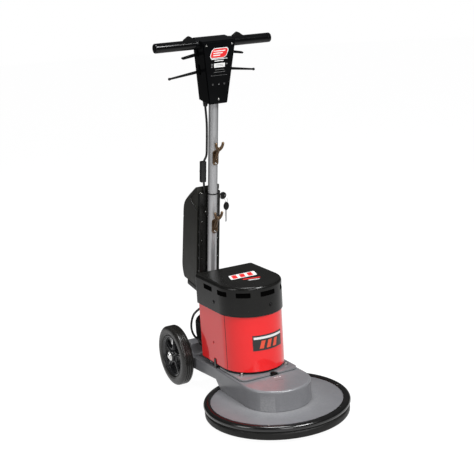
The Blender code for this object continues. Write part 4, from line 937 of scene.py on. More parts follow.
# Cross-slotted cover screws in shallow cups: (name, y of the circle's centre, degrees from +X).
LID_SCREW_Z, LID_SCREW_H = 0.3420, 0.0024
CUP = [(0.0056, 0.0), (0.0056, 0.0004), (0.0050, 0.0010), (0.0044, 0.0004), (0.0044, 0.0)]
LID_HEAD = [(0.0040, 0.0), (0.0040, 0.0010), (0.0034, 0.0019), (0.0018, 0.0023),
            (0.0, LID_SCREW_H), (0.0, 0.0)]
for name, y, degrees in (("left", 0.1770, 180), ("front", JACKET_Y, -79.2), ("right", 0.1770, 0)):
    angle = radians(degrees)
    out = Vector((cos(angle), sin(angle), 0))
    at = Vector((COVER_R * cos(angle), y + COVER_R * sin(angle), LID_SCREW_Z)) + out * GAP
    cup = lathe(CUP, at, out, 36)
    head = lathe(LID_HEAD, at, out, 32)
    for turn in (0.0, pi / 2):
        slot = box(-0.0024, 0.0024, -0.0004, 0.0004, -0.0008, 0.0010)
        head = cut(head, moved(slot, Matrix.Translation(at + out * LID_SCREW_H) @ aim(out)
                               @ Matrix.Rotation(turn, 4, 'Z')))
    place(merge(cup, head), "lid_screw_" + name, "gloss_black", "base", "black_steel",
          "cover_screw_" + name)

# Axle nuts: flange, hexagon, dome.
AXLE_DOME = [(0.0090, 0.0), (0.0090, 0.0004), (0.0084, 0.0018), (0.0070, 0.0028),
             (0.0045, 0.0034), (0.0, 0.0036), (0.0, 0.0)]
for name, side in SIDES:
    flange = washer(0.0150, 0.0012, 0.0140, 0.0020, 0.0083,
                    (side * 0.1525, AXLE_Y, AXLE_Z), (side, 0, 0))
    hexagon = soften(crossbar(side * 0.1543, side * 0.1568, AXLE_Y, AXLE_Z, 0.0108, 6, phase=0.3),
                     0.0005, segments=2)
    dome = lathe(AXLE_DOME, (side * 0.1564, AXLE_Y, AXLE_Z), (side, 0, 0), 40)
    place(merge(flange, hexagon, dome), "hub_nut_" + name, "chrome", "base", "zinc",
          "axle_nut_" + name)

# Plug on the jacket's back: housing outline is (x, z).
PLUG = round_corners([
    (-0.0740, 0.2540), (-0.0880, 0.2440), (-0.0930, 0.2340), (-0.0935, 0.1950),
    (-0.0900, 0.1720), (-0.0830, 0.1560), (-0.0600, 0.1520), (-0.0450, 0.1600),
    (-0.0450, 0.2500), (-0.0500, 0.2540)], 0.004, 5)
PLUG_X, PLUG_Z = -0.0690, 0.2030
plug = slab([PLUG], JACKET_BACK + GAP, 0.3440, 'XZ')
soften(plug, 0.0045, lambda a, b: min(a.y, b.y) > 0.3435, 4)
ribs = []
for y in (0.3080, 0.3130, 0.3180, 0.3230):
    ribs.append(slab([[(PLUG_X + (x - PLUG_X) * 1.025, PLUG_Z + (z - PLUG_Z) * 1.014)
                       for x, z in PLUG]], y, y + 0.0022, 'XZ'))
boot = hose([(-0.0640, 0.3200, 0.2500), (-0.0646, 0.3230, 0.2600), (-0.0665, 0.3310, 0.2690)],
            [0.0088, 0.0074, 0.0052], 24, 6)
place(merge(plug, boot, *ribs), "mains_plug_housing", "satin_black", "base", "cable_rubber",
      bevel=0.0004)

# Pad: fibre disc with a ragged edge, under its holder.
pad = turned([
    (0.0, PAD_TOP), (0.1000, PAD_TOP), (0.1500, PAD_TOP), (PAD_R - 0.003, PAD_TOP),
    (PAD_R - 0.0006, PAD_TOP - 0.0008), (PAD_R, 0.0150), (PAD_R, 0.0110), (PAD_R, 0.0070),
    (PAD_R - 0.0015, 0.0030), (PAD_R - 0.0050, 0.0), (0.1500, 0.0), (0.1000, 0.0),
    (0.0500, 0.0), (0.0, 0.0)], 256, closed=False)
rng = random.Random(7)
for vert in pad.data.vertices:
    r = sqrt(vert.co.x ** 2 + vert.co.y ** 2)
    if r > PAD_R - 0.002 and vert.co.z < PAD_TOP - 0.002:
        k = 1 - rng.random() * 0.0014 / r
        vert.co.x *= k
        vert.co.y *= k
place(pad, "fibre_pad", "pad_fibre", "drive", "pad_fibre", "floor_pad", smooth=60)

# ================================================================= wheels
HALF = TREAD_W / 2
SPOKES, SPOKE_PHASE = 5, 0.20
SHOULDER_R, SHOULDER_X = 0.0835, 0.0105


def tyre_profile():
    """(radius, x): bead and rounded shoulder on each side, three grooves in the tread."""
    side = [(HUB_R + 0.0004, HALF - 0.0050), (HUB_R + 0.0016, HALF - 0.0026),
            (HUB_R + 0.0034, HALF - 0.0012), (HUB_R + 0.0052, HALF - 0.0008),
            (HUB_R + 0.0060, HALF - 0.0013), (HUB_R + 0.0068, HALF - 0.0006),
            (HUB_R + 0.0090, HALF)]
    for i in range(1, 12):
        t = pi / 2 * i / 12
        side.append((SHOULDER_R + (WHEEL_R - SHOULDER_R) * sin(t),
                     SHOULDER_X + (HALF - SHOULDER_X) * cos(t) ** 0.9))
    groove = [(0.0, 0.0015), (0.0006, 0.0012), (0.0024, 0.0008), (0.0027, 0.0),
              (0.0024, -0.0008), (0.0006, -0.0012), (0.0, -0.0015)]      # (depth, x)
    tread = [(WHEEL_R, SHOULDER_X)]
    for centre in (0.0070, 0.0, -0.0070):
        tread += [(WHEEL_R - depth, centre + x) for depth, x in groove]
    tread.append((WHEEL_R, -SHOULDER_X))
    return side + tread + [(r, -x) for r, x in reversed(side)]


HUB_PROFILE = [         # (radius, x)
    (HUB_R, HALF - 0.0060), (HUB_R - 0.0008, HALF - 0.0040), (HUB_R - 0.0022, HALF - 0.0032),
    (HUB_R - 0.0038, HALF - 0.0040), (HUB_R - 0.0052, HALF - 0.0070),
    (HUB_R - 0.0070, HALF - 0.0078), (HUB_R - 0.0086, HALF - 0.0100), (HUB_R - 0.0092, 0.0074),
    (0.0215, 0.0086), (0.0200, 0.0100), (0.0190, 0.0130), (0.0184, HALF - 0.0020),
    (0.0172, HALF - 0.0003), (AXLE_R + GAP, HALF - 0.0003), (AXLE_R + GAP, -HALF + 0.0010),
    (0.0180, -HALF + 0.0010), (0.0190, -0.0130), (0.0200, -0.0070), (0.0215, -0.0056),
    (HUB_R - 0.0092, -0.0050), (HUB_R - 0.0086, -0.0100), (HUB_R - 0.0060, -HALF + 0.0060),
    (HUB_R - 0.0022, -HALF + 0.0034), (HUB_R, -HALF + 0.0060)]
WINDOW = [              # (radius, angle from the window's middle)
    (0.0245, -0.20), (0.0245, 0.20), (0.0420, 0.46), (0.0588, 0.46), (0.0588, 0.31),
    (0.0588, 0.15), (0.0588, 0.0), (0.0588, -0.15), (0.0588, -0.31), (0.0588, -0.46),
    (0.0420, -0.46)]


def spoked_hub():
    windows = []
    for i in range(SPOKES):
        middle = 2 * pi * (i + 0.5) / SPOKES + SPOKE_PHASE
        loop = [(r * cos(middle + a), r * sin(middle + a)) for r, a in WINDOW]
        windows.append(slab([round_corners(loop, 0.005, 5)], -0.03, 0.03, 'YZ'))
    hub = cut(turned(HUB_PROFILE, 120, 'X'), *windows)
    ribs = []                   # one along each face of every spoke
    for i in range(SPOKES):
        for face, x in ((1, 0.0085), (-1, 0.0055)):
            rib = hose([(face * x, 0.0200, 0), (face * (x + 0.0006), 0.0400, 0),
                        (face * (x - 0.0004), 0.0600, 0)], [0.0040, 0.0028, 0.0036], 14, 4)
            ribs.append(moved(rib, Matrix.Rotation(2 * pi * i / SPOKES + SPOKE_PHASE, 4, 'X')))
    return merge(hub, *ribs)


for name, side in SIDES:
    tyre, hub = turned(tyre_profile(), 160, 'X'), spoked_hub()
    for piece in (tyre, hub):
        if side < 0:
            moved(piece, Matrix.Rotation(pi, 4, 'Z'))
        shift(piece, side * WHEEL_X, AXLE_Y, AXLE_Z)
    place(tyre, "tyre_body_" + name, "tyre_rubber", "wheel_" + name, "tyre_rubber",
          "tyre_" + name, smooth=50)
    place(hub, "spoked_hub_" + name, "hub_plastic", "wheel_" + name, "hub_plastic",
          "wheel_hub_" + name, bevel=0.0005)

# ================================================================= handle, in its own frame
# Yoke: a beam on the axle between the arms, with a socket for the tube and a drum pocket.
yoke = join(box(-YOKE_HALF, YOKE_HALF, -0.0180, 0.0180, 0.0020, YOKE_TOP, 0.0024, 3),
            turned([(0.0205, 0.0950), (0.0205, 0.0440), (0.0222, 0.0410), (0.0260, 0.0385),
                    (0.0260, 0.0310), (0.0, 0.0310), (0.0, 0.0950)], 64),
            crossbar(-YOKE_HALF + 0.0004, YOKE_HALF - 0.0004, 0, 0, 0.0165, 64))
yoke = cut(yoke, crossbar(-0.0140, 0.0140, 0, 0, 0.0252, 64),
           crossbar(-0.09, 0.09, 0, 0, AXLE_R + GAP),
           pole(0, 0, 0.0200, 0.0400, 0.0100, 40), pole(0, 0, 0.0300, 0.110, TUBE_R + GAP, 64))
place_on_handle(yoke, "yoke_casting", "paint_grey", "grey_paint", "tilt_yoke",
                bevel=0.0012, segments=3)
bolts = [screw_head(0.0048, 0.0018, 0.0040, 0.0028, 0.0031, (0, way * 0.0203, 0.0780),
                    (0, way, 0), 32) for way in (1, -1)]
place_on_handle(merge(*bolts), "yoke_bolts", "zinc_plate", "zinc")

# Tube.
tube = turned([(TUBE_R, TUBE_S1), (TUBE_R, 0.6), (TUBE_R, 0.3), (TUBE_R, TUBE_S0 + 0.0008),
               (TUBE_R - 0.0006, TUBE_S0), (TUBE_R - 0.0020, TUBE_S0),
               (TUBE_R - 0.0020, TUBE_S1)], 96)
place_on_handle(tube, "drawn_tube", "aluminium", "tube_paint", "handle_tube")


# Control head: a housing that widens upwards, open collars round the bar, pivot posts.
def head_slab(inset, z0, z1, y0, y1, r=0.0):
    """Slab with the head's tapered outline, pulled in by inset at the sides."""
    w0, w1 = [HEAD_W0 + (HEAD_W1 - HEAD_W0) * (z - HEAD_S0) / (HEAD_S1 - HEAD_S0) - inset
              for z in (z0, z1)]
    loop = [(-w1, z1), (-w0, z0), (w0, z0), (w1, z1)]
    if r:
        loop = round_corners(loop, r, 6)
    return slab([loop], y0, y1, 'XZ')


HEAD_TOP = HEAD_S1 + 0.0022
CABLE_X, CABLE_Y = -0.0180, 0.0205
COLLAR_R = 0.0235
collar_profile = [(COLLAR_R, 0.0)]
for i in range(1, 9):
    t = pi / 2 * i / 8
    collar_profile.append((COLLAR_R - 0.0072 * sin(t), 0.0160 * (1 - cos(t))))
collar_profile += [(0.0160, 0.0175), (0.0120, 0.0175), (0.0120, 0.0)]
housing = head_slab(0.0, HEAD_S0, HEAD_TOP, HEAD_FRONT + 0.0045, HEAD_BACK, 0.003)
soften(housing, 0.0078, lambda a, b: min(a.y, b.y) > HEAD_BACK - 0.0005, 5)
collars = [cut(lathe(collar_profile, (side * 0.0468, BAR_Y, BAR_S), (side, 0, 0), 64),
               box(-0.09, 0.09, -0.05, 0.05, HEAD_TOP, HEAD_TOP + 0.05))
           for name, side in SIDES]
housing = join(housing, *collars)
housing = cut(housing,
              head_slab(0.0032, HEAD_S0 + 0.0032, BAR_S - 0.0180, HEAD_FRONT,
                        HEAD_BACK - 0.0034),
              crossbar(-0.09, 0.09, BAR_Y, BAR_S, BAR_R + GAP, 64),
              pole(0, 0, 0.800, HEAD_S0 + 0.020, TUBE_R + GAP, 64),
              pole(CABLE_X, CABLE_Y, 0.840, 0.870, 0.0062, 32))
lever_openings = [box(side * 0.030, side * 0.080, 0.0030, 0.0170, z0, z1, 0.0015)
                  for name, side in SIDES for z0, z1 in ((0.9990, 1.0185), (0.9420, 0.9740))]
housing = cut(housing, *lever_openings)
posts = [rod((x, y, z), (x, HEAD_BACK - 0.002, z), POST_R, 24)
         for x, y, z in ((-SWITCH_PIVOT[0], -0.0020, SWITCH_PIVOT[1]),
                         (SWITCH_PIVOT[0], -0.0020, SWITCH_PIVOT[1]),
                         (LOCK_PIVOT[0], 0.0042, LOCK_PIVOT[1]))]
place_on_handle(merge(housing, *posts), "head_housing", "panel_black", "head_plastic",
                "head_shell", bevel=0.0007)

# Front panel: a rim stands round the sunk face, a spigot reaches into the housing.
FACE_Y = HEAD_FRONT + 0.0009
panel = head_slab(0.0022, HEAD_S0 + 0.0020, HEAD_S1 - 0.0005, HEAD_FRONT, HEAD_FRONT + 0.0042,
                  0.004)
soften(panel, 0.0016, lambda a, b: max(a.y, b.y) < HEAD_FRONT + 0.0004)
panel = cut(panel, head_slab(0.0052, HEAD_S0 + 0.0060, HEAD_S1 - 0.0042, HEAD_FRONT - 0.002,
                             FACE_Y, 0.003))
spigot = cut(head_slab(0.0040, HEAD_S0 + 0.0045, BAR_S - 0.0190, HEAD_FRONT + 0.0030,
                       HEAD_FRONT + 0.0080),
             head_slab(0.0065, HEAD_S0 + 0.0070, BAR_S - 0.0215, HEAD_FRONT + 0.0020,
                       HEAD_FRONT + 0.0100))
place_on_handle(join(panel, spigot), "head_front_panel", "panel_black", "panel_plastic",
                "head_panel", bevel=0.0004)


# Prints on the panel: a leaning red field edged white with three lines, rules, small shapes.
def on_panel(*loops, height=0.0003):
    return slab(loops, FACE_Y - height, FACE_Y + 0.0001, 'XZ')


def leaned(x0, x1, z0, z1, r):
    middle = (z0 + z1) / 2
    return [(x + (z - middle) * 0.35, z) for x, z in rounded(x0, x1, z0, z1, r)]


def place_print(parts, name, look):
    place_on_handle(merge(*parts), name, look, "panel_plastic")


# Rows are (x0, x1, z0, z1, corner radius).
white_lines = [(-0.0195, 0.0205, 1.0196, 1.0226, 0.0013), (-0.0205, 0.0120, 1.0128, 1.0158, 0.0013),
               (-0.0215, 0.0035, 1.0060, 1.0090, 0.0013)]
white_rules = [(-0.0262, 0.0282, 0.9952, 0.9972, 0.0009), (-0.0160, 0.0150, 0.9892, 0.9914, 0.0010),
               (-0.0172, 0.0200, 0.9700, 0.9830, 0.0012)]
grey_rules = [(-0.0275, -0.0215, 0.9775, 0.9825, 0.0010), (-0.0275, -0.0225, 0.9705, 0.9750, 0.0010),
              (0.0235, 0.0290, 0.9770, 0.9810, 0.0010), (-0.0135, 0.0175, 0.9620, 0.9634, 0.0006),
              (-0.0170, 0.0210, 0.9550, 0.9563, 0.0006), (-0.0290, 0.0280, 0.9449, 0.9456, 0.0003)]
grey_lines = [(-0.0130, 0.0150, 0.9740, 0.9750, 0.0004), (-0.0130, 0.0150, 0.9780, 0.9790, 0.0004)]
place_print([on_panel(leaned(-0.0290, 0.0290, 0.9985, 1.0300, 0.0110))]
            + [on_panel(leaned(*row), height=0.0007) for row in white_lines]
            + [on_panel(rounded(*row, 4)) for row in white_rules], "panel_white", "print_white")
place_print([on_panel(leaned(-0.0268, 0.0268, 1.0007, 1.0278, 0.0092), height=0.0005)],
            "panel_red", "print_red")
place_print([on_panel(rounded(*row, 4)) for row in grey_rules]
            + [on_panel(rounded(*row, 3), height=0.0005) for row in grey_lines],
            "panel_grey", "print_grey")
triangle = [(-0.0030, 0.9152), (0.0026, 0.9152), (-0.0002, 0.9204)]
place_print([on_panel(oval(-0.0210, 0.9178, 0.0021, 0.0026), oval(-0.0210, 0.9178, 0.0012, 0.0016)),
             on_panel(round_corners(triangle, 0.0008, 3)),
             on_panel(rounded(0.0165, 0.0210, 0.9154, 0.9200, 0.0008, 3),
                      rounded(0.0175, 0.0200, 0.9164, 0.9190, 0.0005, 3))],
            "panel_symbols", "print_grey")

PANEL_SCREW_H = 0.0016
heads = []
for x, z in ((-0.0440, 1.0395), (0.0440, 1.0395), (0.0, 0.8700)):
    head = screw_head(0.0030, 0.0008, 0.0024, 0.0014, PANEL_SCREW_H, (x, FACE_Y, z), (0, -1, 0),
                      32, base=-0.0002)
    for turn in (0.5, 0.5 + pi / 2):
        slot = box(-0.0019, 0.0019, -0.0004, 0.0004, -0.0004, 0.0004)
        head = cut(head, moved(slot, Matrix.Translation((x, FACE_Y - PANEL_SCREW_H, z))
                               @ Matrix.Rotation(turn, 4, 'Y') @ Matrix.Rotation(pi / 2, 4, 'X')))
    heads.append(head)
place_print(heads, "panel_screws", "zinc_plate")

# Handlebar with grooved ends, a slot for each button and end caps.
bar_end = [(BAR_R - 0.0040, BAR_HALF), (BAR_R - 0.0030, BAR_HALF),
           (BAR_R - 0.0012, BAR_HALF - 0.0008), (BAR_R - 0.0003, BAR_HALF - 0.0022),
           (BAR_R, BAR_HALF - 0.0040), (BAR_R, BAR_HALF - 0.0110),
           (BAR_R - 0.0009, BAR_HALF - 0.0116), (BAR_R - 0.0009, BAR_HALF - 0.0128),
           (BAR_R, BAR_HALF - 0.0134), (BAR_R, 0.150), (BAR_R, 0.110)]
bar = shift(turned(bar_end + [(r, -x) for r, x in reversed(bar_end)], 72, 'X'), 0, BAR_Y, BAR_S)
for name, side in SIDES:
    x = side * BUTTON_X
    bar = cut(bar, box(x - 0.0180, x + 0.0180, BAR_Y - 0.0054, BAR_Y + 0.0054,
                       BAR_S + 0.004, BAR_S + 0.03, 0.0012))
place_on_handle(bar, "grip_bar", "gloss_black", "head_plastic", "handlebar", bevel=0.0005)
CAP_R = BAR_R - 0.0042
caps = [lathe([(CAP_R, 0.0), (CAP_R, 0.0004), (0.0070, 0.0010), (0.0, 0.0012), (0.0, -0.003),
               (CAP_R, -0.003)], (side * (BAR_HALF - 0.0012), BAR_Y, BAR_S), (side, 0, 0), 56)
        for name, side in SIDES]
place_on_handle(merge(*caps), "bar_caps", "satin_black", "head_plastic")

# Peaked push buttons: (x, height over the bar's top).
BUTTON = [(-0.0174, -0.0042), (0.0174, -0.0042), (0.0174, 0.0025), (0.0125, 0.0052),
          (0.0035, 0.0118), (-0.0015, 0.0122), (-0.0070, 0.0092), (-0.0135, 0.0042),
          (-0.0174, 0.0025)]
for name, side in SIDES:
    loop = [(x, BAR_S + BAR_R + z) for x, z in BUTTON]
    button = slab([round_corners(loop, 0.0022, 4)], BAR_Y - 0.0048, BAR_Y + 0.0048, 'XZ')
    if side > 0:
        moved(button, Matrix.Scale(-1, 4, (1, 0, 0)))
        flip(button)
    shift(button, side * BUTTON_X)
    place_on_handle(button, "peaked_button_" + name, "satin_black", "button_plastic",
                    "safety_button_" + name, body="safety_button_" + name,
                    bevel=0.0012, segments=3)


# Levers under the bar: a long switch lever and a longer lock lever on each side.
def lever(side, pivot, tip, y_range, root_r, tip_r, edge, knob=0.0):
    """Tapered blade from the pivot to a round tip, with a bored boss and perhaps a knob."""
    y0, y1 = y_range
    root, end = Vector((side * pivot[0], pivot[1])), Vector((side * tip[0], tip[1]))
    along = (end - root).normalized()
    across = Vector((-along.y, along.x))
    loop = [root + across * root_r]
    for i in range(9):
        angle = pi / 2 - pi * i / 8
        loop.append(end + along * tip_r * cos(angle) + across * tip_r * sin(angle))
    loop.append(root - across * root_r)
    blade = soften(slab([loop], y0, y1, 'XZ'), edge, lambda a, b: abs(a.y - b.y) < 1e-6)
    boss_r = root_r + 0.0008
    blade = join(blade, lathe([(boss_r, 0.0), (boss_r, y1 - y0), (0.0, y1 - y0), (0.0, 0.0)],
                              (root.x, y0, root.y), (0, 1, 0)))
    if knob:
        blade = join(blade, ball((end.x, (y0 + y1) / 2, end.y), knob, 28, 16))
    return cut(blade, rod((root.x, y0 - 0.002, root.y), (root.x, y1 + 0.002, root.y),
                          POST_R + GAP, 24))


for name, side in SIDES:
    for kind, blade in (
            ("switch", lever(side, SWITCH_PIVOT, tip=(0.1022, 0.9977), y_range=SWITCH_Y,
                             root_r=0.0048, tip_r=0.0030, edge=0.0022)),
            ("lock", lever(side, LOCK_PIVOT, tip=(0.1480, 0.9392), y_range=LOCK_Y[side],
                           root_r=0.0052, tip_r=0.0024, edge=0.0014, knob=0.0044))):
        node = kind + "_lever_" + name
        place_on_handle(blade, kind + "_blade_" + name, "gloss_black", "lever_plastic", node,
                        body=node)

# Head cable: cable, ribbed boot, inline plug with two rings, second cable.
upper_cable = hose([(CABLE_X, CABLE_Y, 0.8660), (CABLE_X, CABLE_Y, 0.8350),
                    (-0.0155, 0.0200, 0.8100), (-0.0130, 0.0190, 0.7700),
                    (-0.0125, 0.0190, 0.7000), (-0.0135, 0.0195, 0.6750),
                    (-0.0200, 0.0200, 0.6600), (-0.0230, 0.0200, 0.6480)], 0.0035)
boot = shift(turned([(0.0085, 0.8530), (0.0085, 0.8500), (0.0068, 0.8494), (0.0068, 0.8474),
                     (0.0082, 0.8468), (0.0080, 0.8446), (0.0064, 0.8440), (0.0064, 0.8420),
                     (0.0076, 0.8414), (0.0073, 0.8392), (0.0058, 0.8386), (0.0055, 0.8360),
                     (0.0, 0.8360), (0.0, 0.8530)], 40), CABLE_X, CABLE_Y)
plug = slab([rounded(-0.0345, -0.0155, 0.0112, 0.0286, 0.005, 6)], 0.5890, 0.6560)
soften(plug, 0.004, lambda a, b: min(a.z, b.z) > 0.6555 or max(a.z, b.z) < 0.5895)
rings = [slab([rounded(-0.0350, -0.0150, 0.0107, 0.0291, 0.0055, 6),
               rounded(-0.0340, -0.0160, 0.0117, 0.0281, 0.0045, 6)], z, z + 0.0016)
         for z in (0.6220, 0.6260)]
lower_cable = hose([(-0.0220, 0.0200, 0.5950), (-0.0200, 0.0215, 0.5740),
                    (-0.0180, 0.0220, 0.5500)], 0.0034)
place_on_handle(merge(upper_cable, boot, plug, lower_cable, *rings), "control_cable",
                "cable_sheath", "cable_rubber", "head_cable", bevel=0.0004)

# Cable hooks on the tube's front: foot, arm, two prongs, slotted screw and a small head.
HOOK_SCREW_S, HOOK_SCREW_R = 0.6590, 0.0040
for name, drop in (("upper", 0.0), ("lower", -0.2315)):
    foot = slab([rounded(-0.0100, 0.0100, 0.6520, 0.7000, 0.0085)], -0.0192, -TUBE_R - GAP, 'XZ')
    soften(foot, 0.0014, lambda a, b: max(a.y, b.y) < -0.0189)
    arm = hose([(0, -0.0178, 0.6760), (0, -0.0225, 0.6840), (0, -0.0285, 0.6955),
                (0, -0.0345, 0.7060), (0, -0.0380, 0.7120)],
               [0.0060, 0.0058, 0.0055, 0.0052, 0.0048], 24, 6)
    prongs = [hose([(0, -0.0345, 0.7060), (side * 0.0040, -0.0385, 0.7105),
                    (side * 0.0085, -0.0408, 0.7165), (side * 0.0112, -0.0424, 0.7240),
                    (side * 0.0118, -0.0430, 0.7300)],
                   [0.0058, 0.0054, 0.0049, 0.0044, 0.0044], 20, 6) for side in (-1, 1)]
    hook = shift(merge(join(foot, arm), *prongs), z=drop)
    place_on_handle(hook, "double_hook_" + name, "bronze", "hook_bronze", "cable_hook_" + name,
                    bevel=0.0004)
    s, r = HOOK_SCREW_S + drop, HOOK_SCREW_R
    head = lathe([(r, 0.0), (r, 0.0006), (r * 0.86, 0.0016), (r * 0.5, 0.0023), (0.0, 0.0025),
                  (0.0, 0.0)], (0, -0.0190, s), (0, -1, 0), 32)
    head = cut(head, box(-0.0030, 0.0030, -0.0219, -0.0208, s - 0.0004, s + 0.0004))
    small = screw_head(0.0030, 0.0010, 0.0020, 0.0017, 0.0019, (0, -0.0262, 0.6860 + drop),
                       (0, -1, -0.55), 28)
    place_on_handle(merge(head, small), "hook_screws_" + name, "chrome", "hook_bronze")

# Battery cradle: back board, foot, cable channel, side pockets, front slots, tube clamps.
CLAMPS_S, FRONT_SCREW_X = (0.2600, 0.4900), 0.0290
cradle = join(box(-CRADLE_HW, CRADLE_HW, CRADLE_FRONT, CRADLE_BACK, CRADLE_S0, CRADLE_S1, 0.0014),
              box(-CRADLE_HW, CRADLE_HW, CRADLE_BACK - 0.002, 0.1080, 0.1960, 0.2180, 0.0060, 4),
              box(-CRADLE_HW, CRADLE_HW, CRADLE_FRONT, CRADLE_BACK, 0.1960, 0.2180, 0.0014))
cradle = cut(cradle, box(-0.0130, 0.0130, CRADLE_FRONT - 0.002, CRADLE_FRONT + 0.006,
                         0.2300, 0.5350))
pockets = []
for k in range(6):
    z = 0.2350 + 0.0460 * k
    for side in (-1, 1):
        pockets.append(box(side * 0.0345, side * 0.040, CRADLE_FRONT + 0.0030,
                           CRADLE_BACK - 0.0030, z, z + 0.0400, 0.0010))
for side in (-1, 1):
    x = side * FRONT_SCREW_X
    for z in (0.2700, 0.3220, 0.3860, 0.4520, 0.5080):
        pockets.append(box(x - 0.0022, x + 0.0022, CRADLE_FRONT - 0.0010, CRADLE_FRONT + 0.0020,
                           z - 0.0060, z + 0.0060, 0.0006))
cradle = cut(cradle, *pockets)
clamps = [cut(box(-0.0200, 0.0200, 0.0, CRADLE_FRONT + 0.001, z - 0.012, z + 0.012, 0.0016),
              pole(0, 0, z - 0.02, z + 0.02, TUBE_R + GAP, 64)) for z in CLAMPS_S]
place_on_handle(join(cradle, *clamps), "battery_rack", "moulded_black", "cradle_plastic",
                "battery_cradle", bevel=0.0005)
heads = [screw_head(0.0017, 0.0004, 0.0012, 0.0009, 0.0011,
                    (side * FRONT_SCREW_X, CRADLE_FRONT + 0.0017, z), (0, -1, 0), 24, base=-0.0005)
         for side in (-1, 1) for z in (0.3220, 0.3860, 0.4520)]
heads += [screw_head(0.0026, 0.0008, 0.0018, 0.0017, 0.0019, (side * 0.0200, 0.0090, z),
                     (side, 0, 0), 24, base=-0.0004) for z in CLAMPS_S for side in (-1, 1)]
place_on_handle(merge(*heads), "rack_screws", "zinc_plate", "cradle_plastic")
rack_pins = [hose([(-0.0350, 0.0200, 0.5510), (-0.0352, 0.0225, 0.5496)], 0.0018, 16, 3),
             hose([(-0.0290, 0.0176, 0.5514), (-0.0292, 0.0205, 0.5506)], 0.0016, 16, 3)]
place_on_handle(merge(*rack_pins), "rack_pins", "zinc_plate", "cradle_plastic")

# Battery: case with a curved crown, hand recesses and a seam line. Outlines are (y, s).
crown = [(0.0420, 0.5640), (0.0640, 0.5452), (0.0854, 0.5269), (0.1010, 0.5120), (0.1130, 0.5000),
         (0.1210, 0.4900), (0.1268, 0.4770), (0.1298, 0.4600), (0.1306, 0.4400)]
for _ in range(3):              # corner cutting turns the crown into one easy curve
    fine = [crown[0]]
    for a, b in zip(crown, crown[1:]):
        fine += [(a[0] * 0.75 + b[0] * 0.25, a[1] * 0.75 + b[1] * 0.25),
                 (a[0] * 0.25 + b[0] * 0.75, a[1] * 0.25 + b[1] * 0.75)]
    crown = fine + [crown[-1]]
heel = round_corners([(0.1306, 0.4390), (0.1385, 0.2620), (0.1350, 0.2420), (0.1266, 0.2240),
                      (0.1215, 0.2190), (0.0300, 0.2190)], 0.0090, 6)
heel = [q for q in heel if q[0] > 0.0302 or q[1] < 0.2191]
case = slab([[(0.0300, 0.5660), (0.0330, 0.5672), (0.0380, 0.5663)] + crown + heel],
            -0.0395, 0.0395, 'YZ')
soften(case, 0.0068, lambda a, b: abs(a.x - b.x) < 1e-6 and min(a.y, b.y) > 0.034, 5)
recess = round_corners([(0.0300, 0.4900), (0.0500, 0.4985), (0.0700, 0.5095), (0.0760, 0.5200),
                        (0.0560, 0.5400), (0.0440, 0.5500), (0.0300, 0.5540)], 0.004, 4)
cutters = [slab([recess], side * 0.0372, side * 0.0450, 'YZ') for side in (-1, 1)]
cutters += [box(side * 0.0389, side * 0.0450, 0.0440, 0.0450, 0.2100, 0.4860) for side in (-1, 1)]
place_on_handle(cut(case, *cutters), "battery_case", "battery_plastic", "battery_plastic",
                "battery_pack", body="battery", bevel=0.0005)
lips = [hose([(side * 0.0390, 0.0320, 0.4890), (side * 0.0392, 0.0500, 0.4965),
              (side * 0.0392, 0.0700, 0.5075), (side * 0.0390, 0.0775, 0.5180)], 0.0016, 16)
        for side in (-1, 1)]
place_on_handle(merge(*lips), "battery_grip_lips", "hub_plastic", "battery_plastic",
                body="battery")

# Cable tie round the tube, with its lug.
band = turned([(TUBE_R + 0.0016, 0.5544), (TUBE_R + 0.0018, 0.5536), (TUBE_R + 0.0018, 0.5518),
               (TUBE_R + 0.0016, 0.5511), (TUBE_R + GAP, 0.5508), (TUBE_R + GAP, 0.5546)], 64)
lug = box(TUBE_R - 0.0005, TUBE_R + 0.0050, -0.0030, 0.0030, 0.5506, 0.5560, 0.0008)
moved(lug, Matrix.Rotation(radians(-25), 4, 'Z'))
lug = cut(lug, pole(0, 0, 0.53, 0.57, TUBE_R + GAP))
place_on_handle(merge(band, lug), "tie_band", "satin_black", "cable_rubber", "cable_tie")

# Lock barrel, key, ring and spare key.
BARREL = [(0.0066, 0.0), (0.0066, 0.0016), (0.0060, 0.0026), (0.0038, 0.0030), (0.0, 0.0030),
          (0.0, 0.0)]
place_on_handle(lathe(BARREL, (CRADLE_HW + GAP, KEY_Y, KEY_S), (1, 0, 0), 40), "lock_barrel",
                "zinc_plate", "key_plastic", "lock_key", body="lock_key")


def key_bow(cx, cz, rx, rz, *holes):
    bow = slab([oval(cx, cz, rx, rz, 48), *holes], KEY_Y - 0.0017, KEY_Y + 0.0017, 'XZ')
    return soften(bow, 0.0009, lambda a, b: (a - Vector((cx, a.y, cz))).length > 0.0060
                  and abs(a.y - b.y) < 1e-6)


HOLE_X, RING_R, WIRE_R = 0.0580, 0.0124, 0.0006
bow = key_bow(0.0500, KEY_S, 0.0120, 0.0120, circle(HOLE_X, KEY_S, 0.0022, 20))
place_on_handle(bow, "key_bow", "satin_black", "key_plastic", body="lock_key")
shank = box(0.0385, 0.0450, KEY_Y - 0.0010, KEY_Y + 0.0010, KEY_S - 0.0035, KEY_S + 0.0035, 0.0004)
place_on_handle(shank, "key_shank", "ground_steel", "key_plastic", body="lock_key")

hang = radians(11)
ring = turned(circle(RING_R, 0.0, WIRE_R, 14), 72, 'X')
centre = Vector((HOLE_X, KEY_Y, KEY_S)) + Vector((sin(hang), 0, -cos(hang))) * RING_R
moved(ring, Matrix.Translation(centre) @ Matrix.Rotation(-hang, 4, 'Y'))
place_on_handle(ring, "key_ring", "chrome", "key_plastic", body="spare_key")

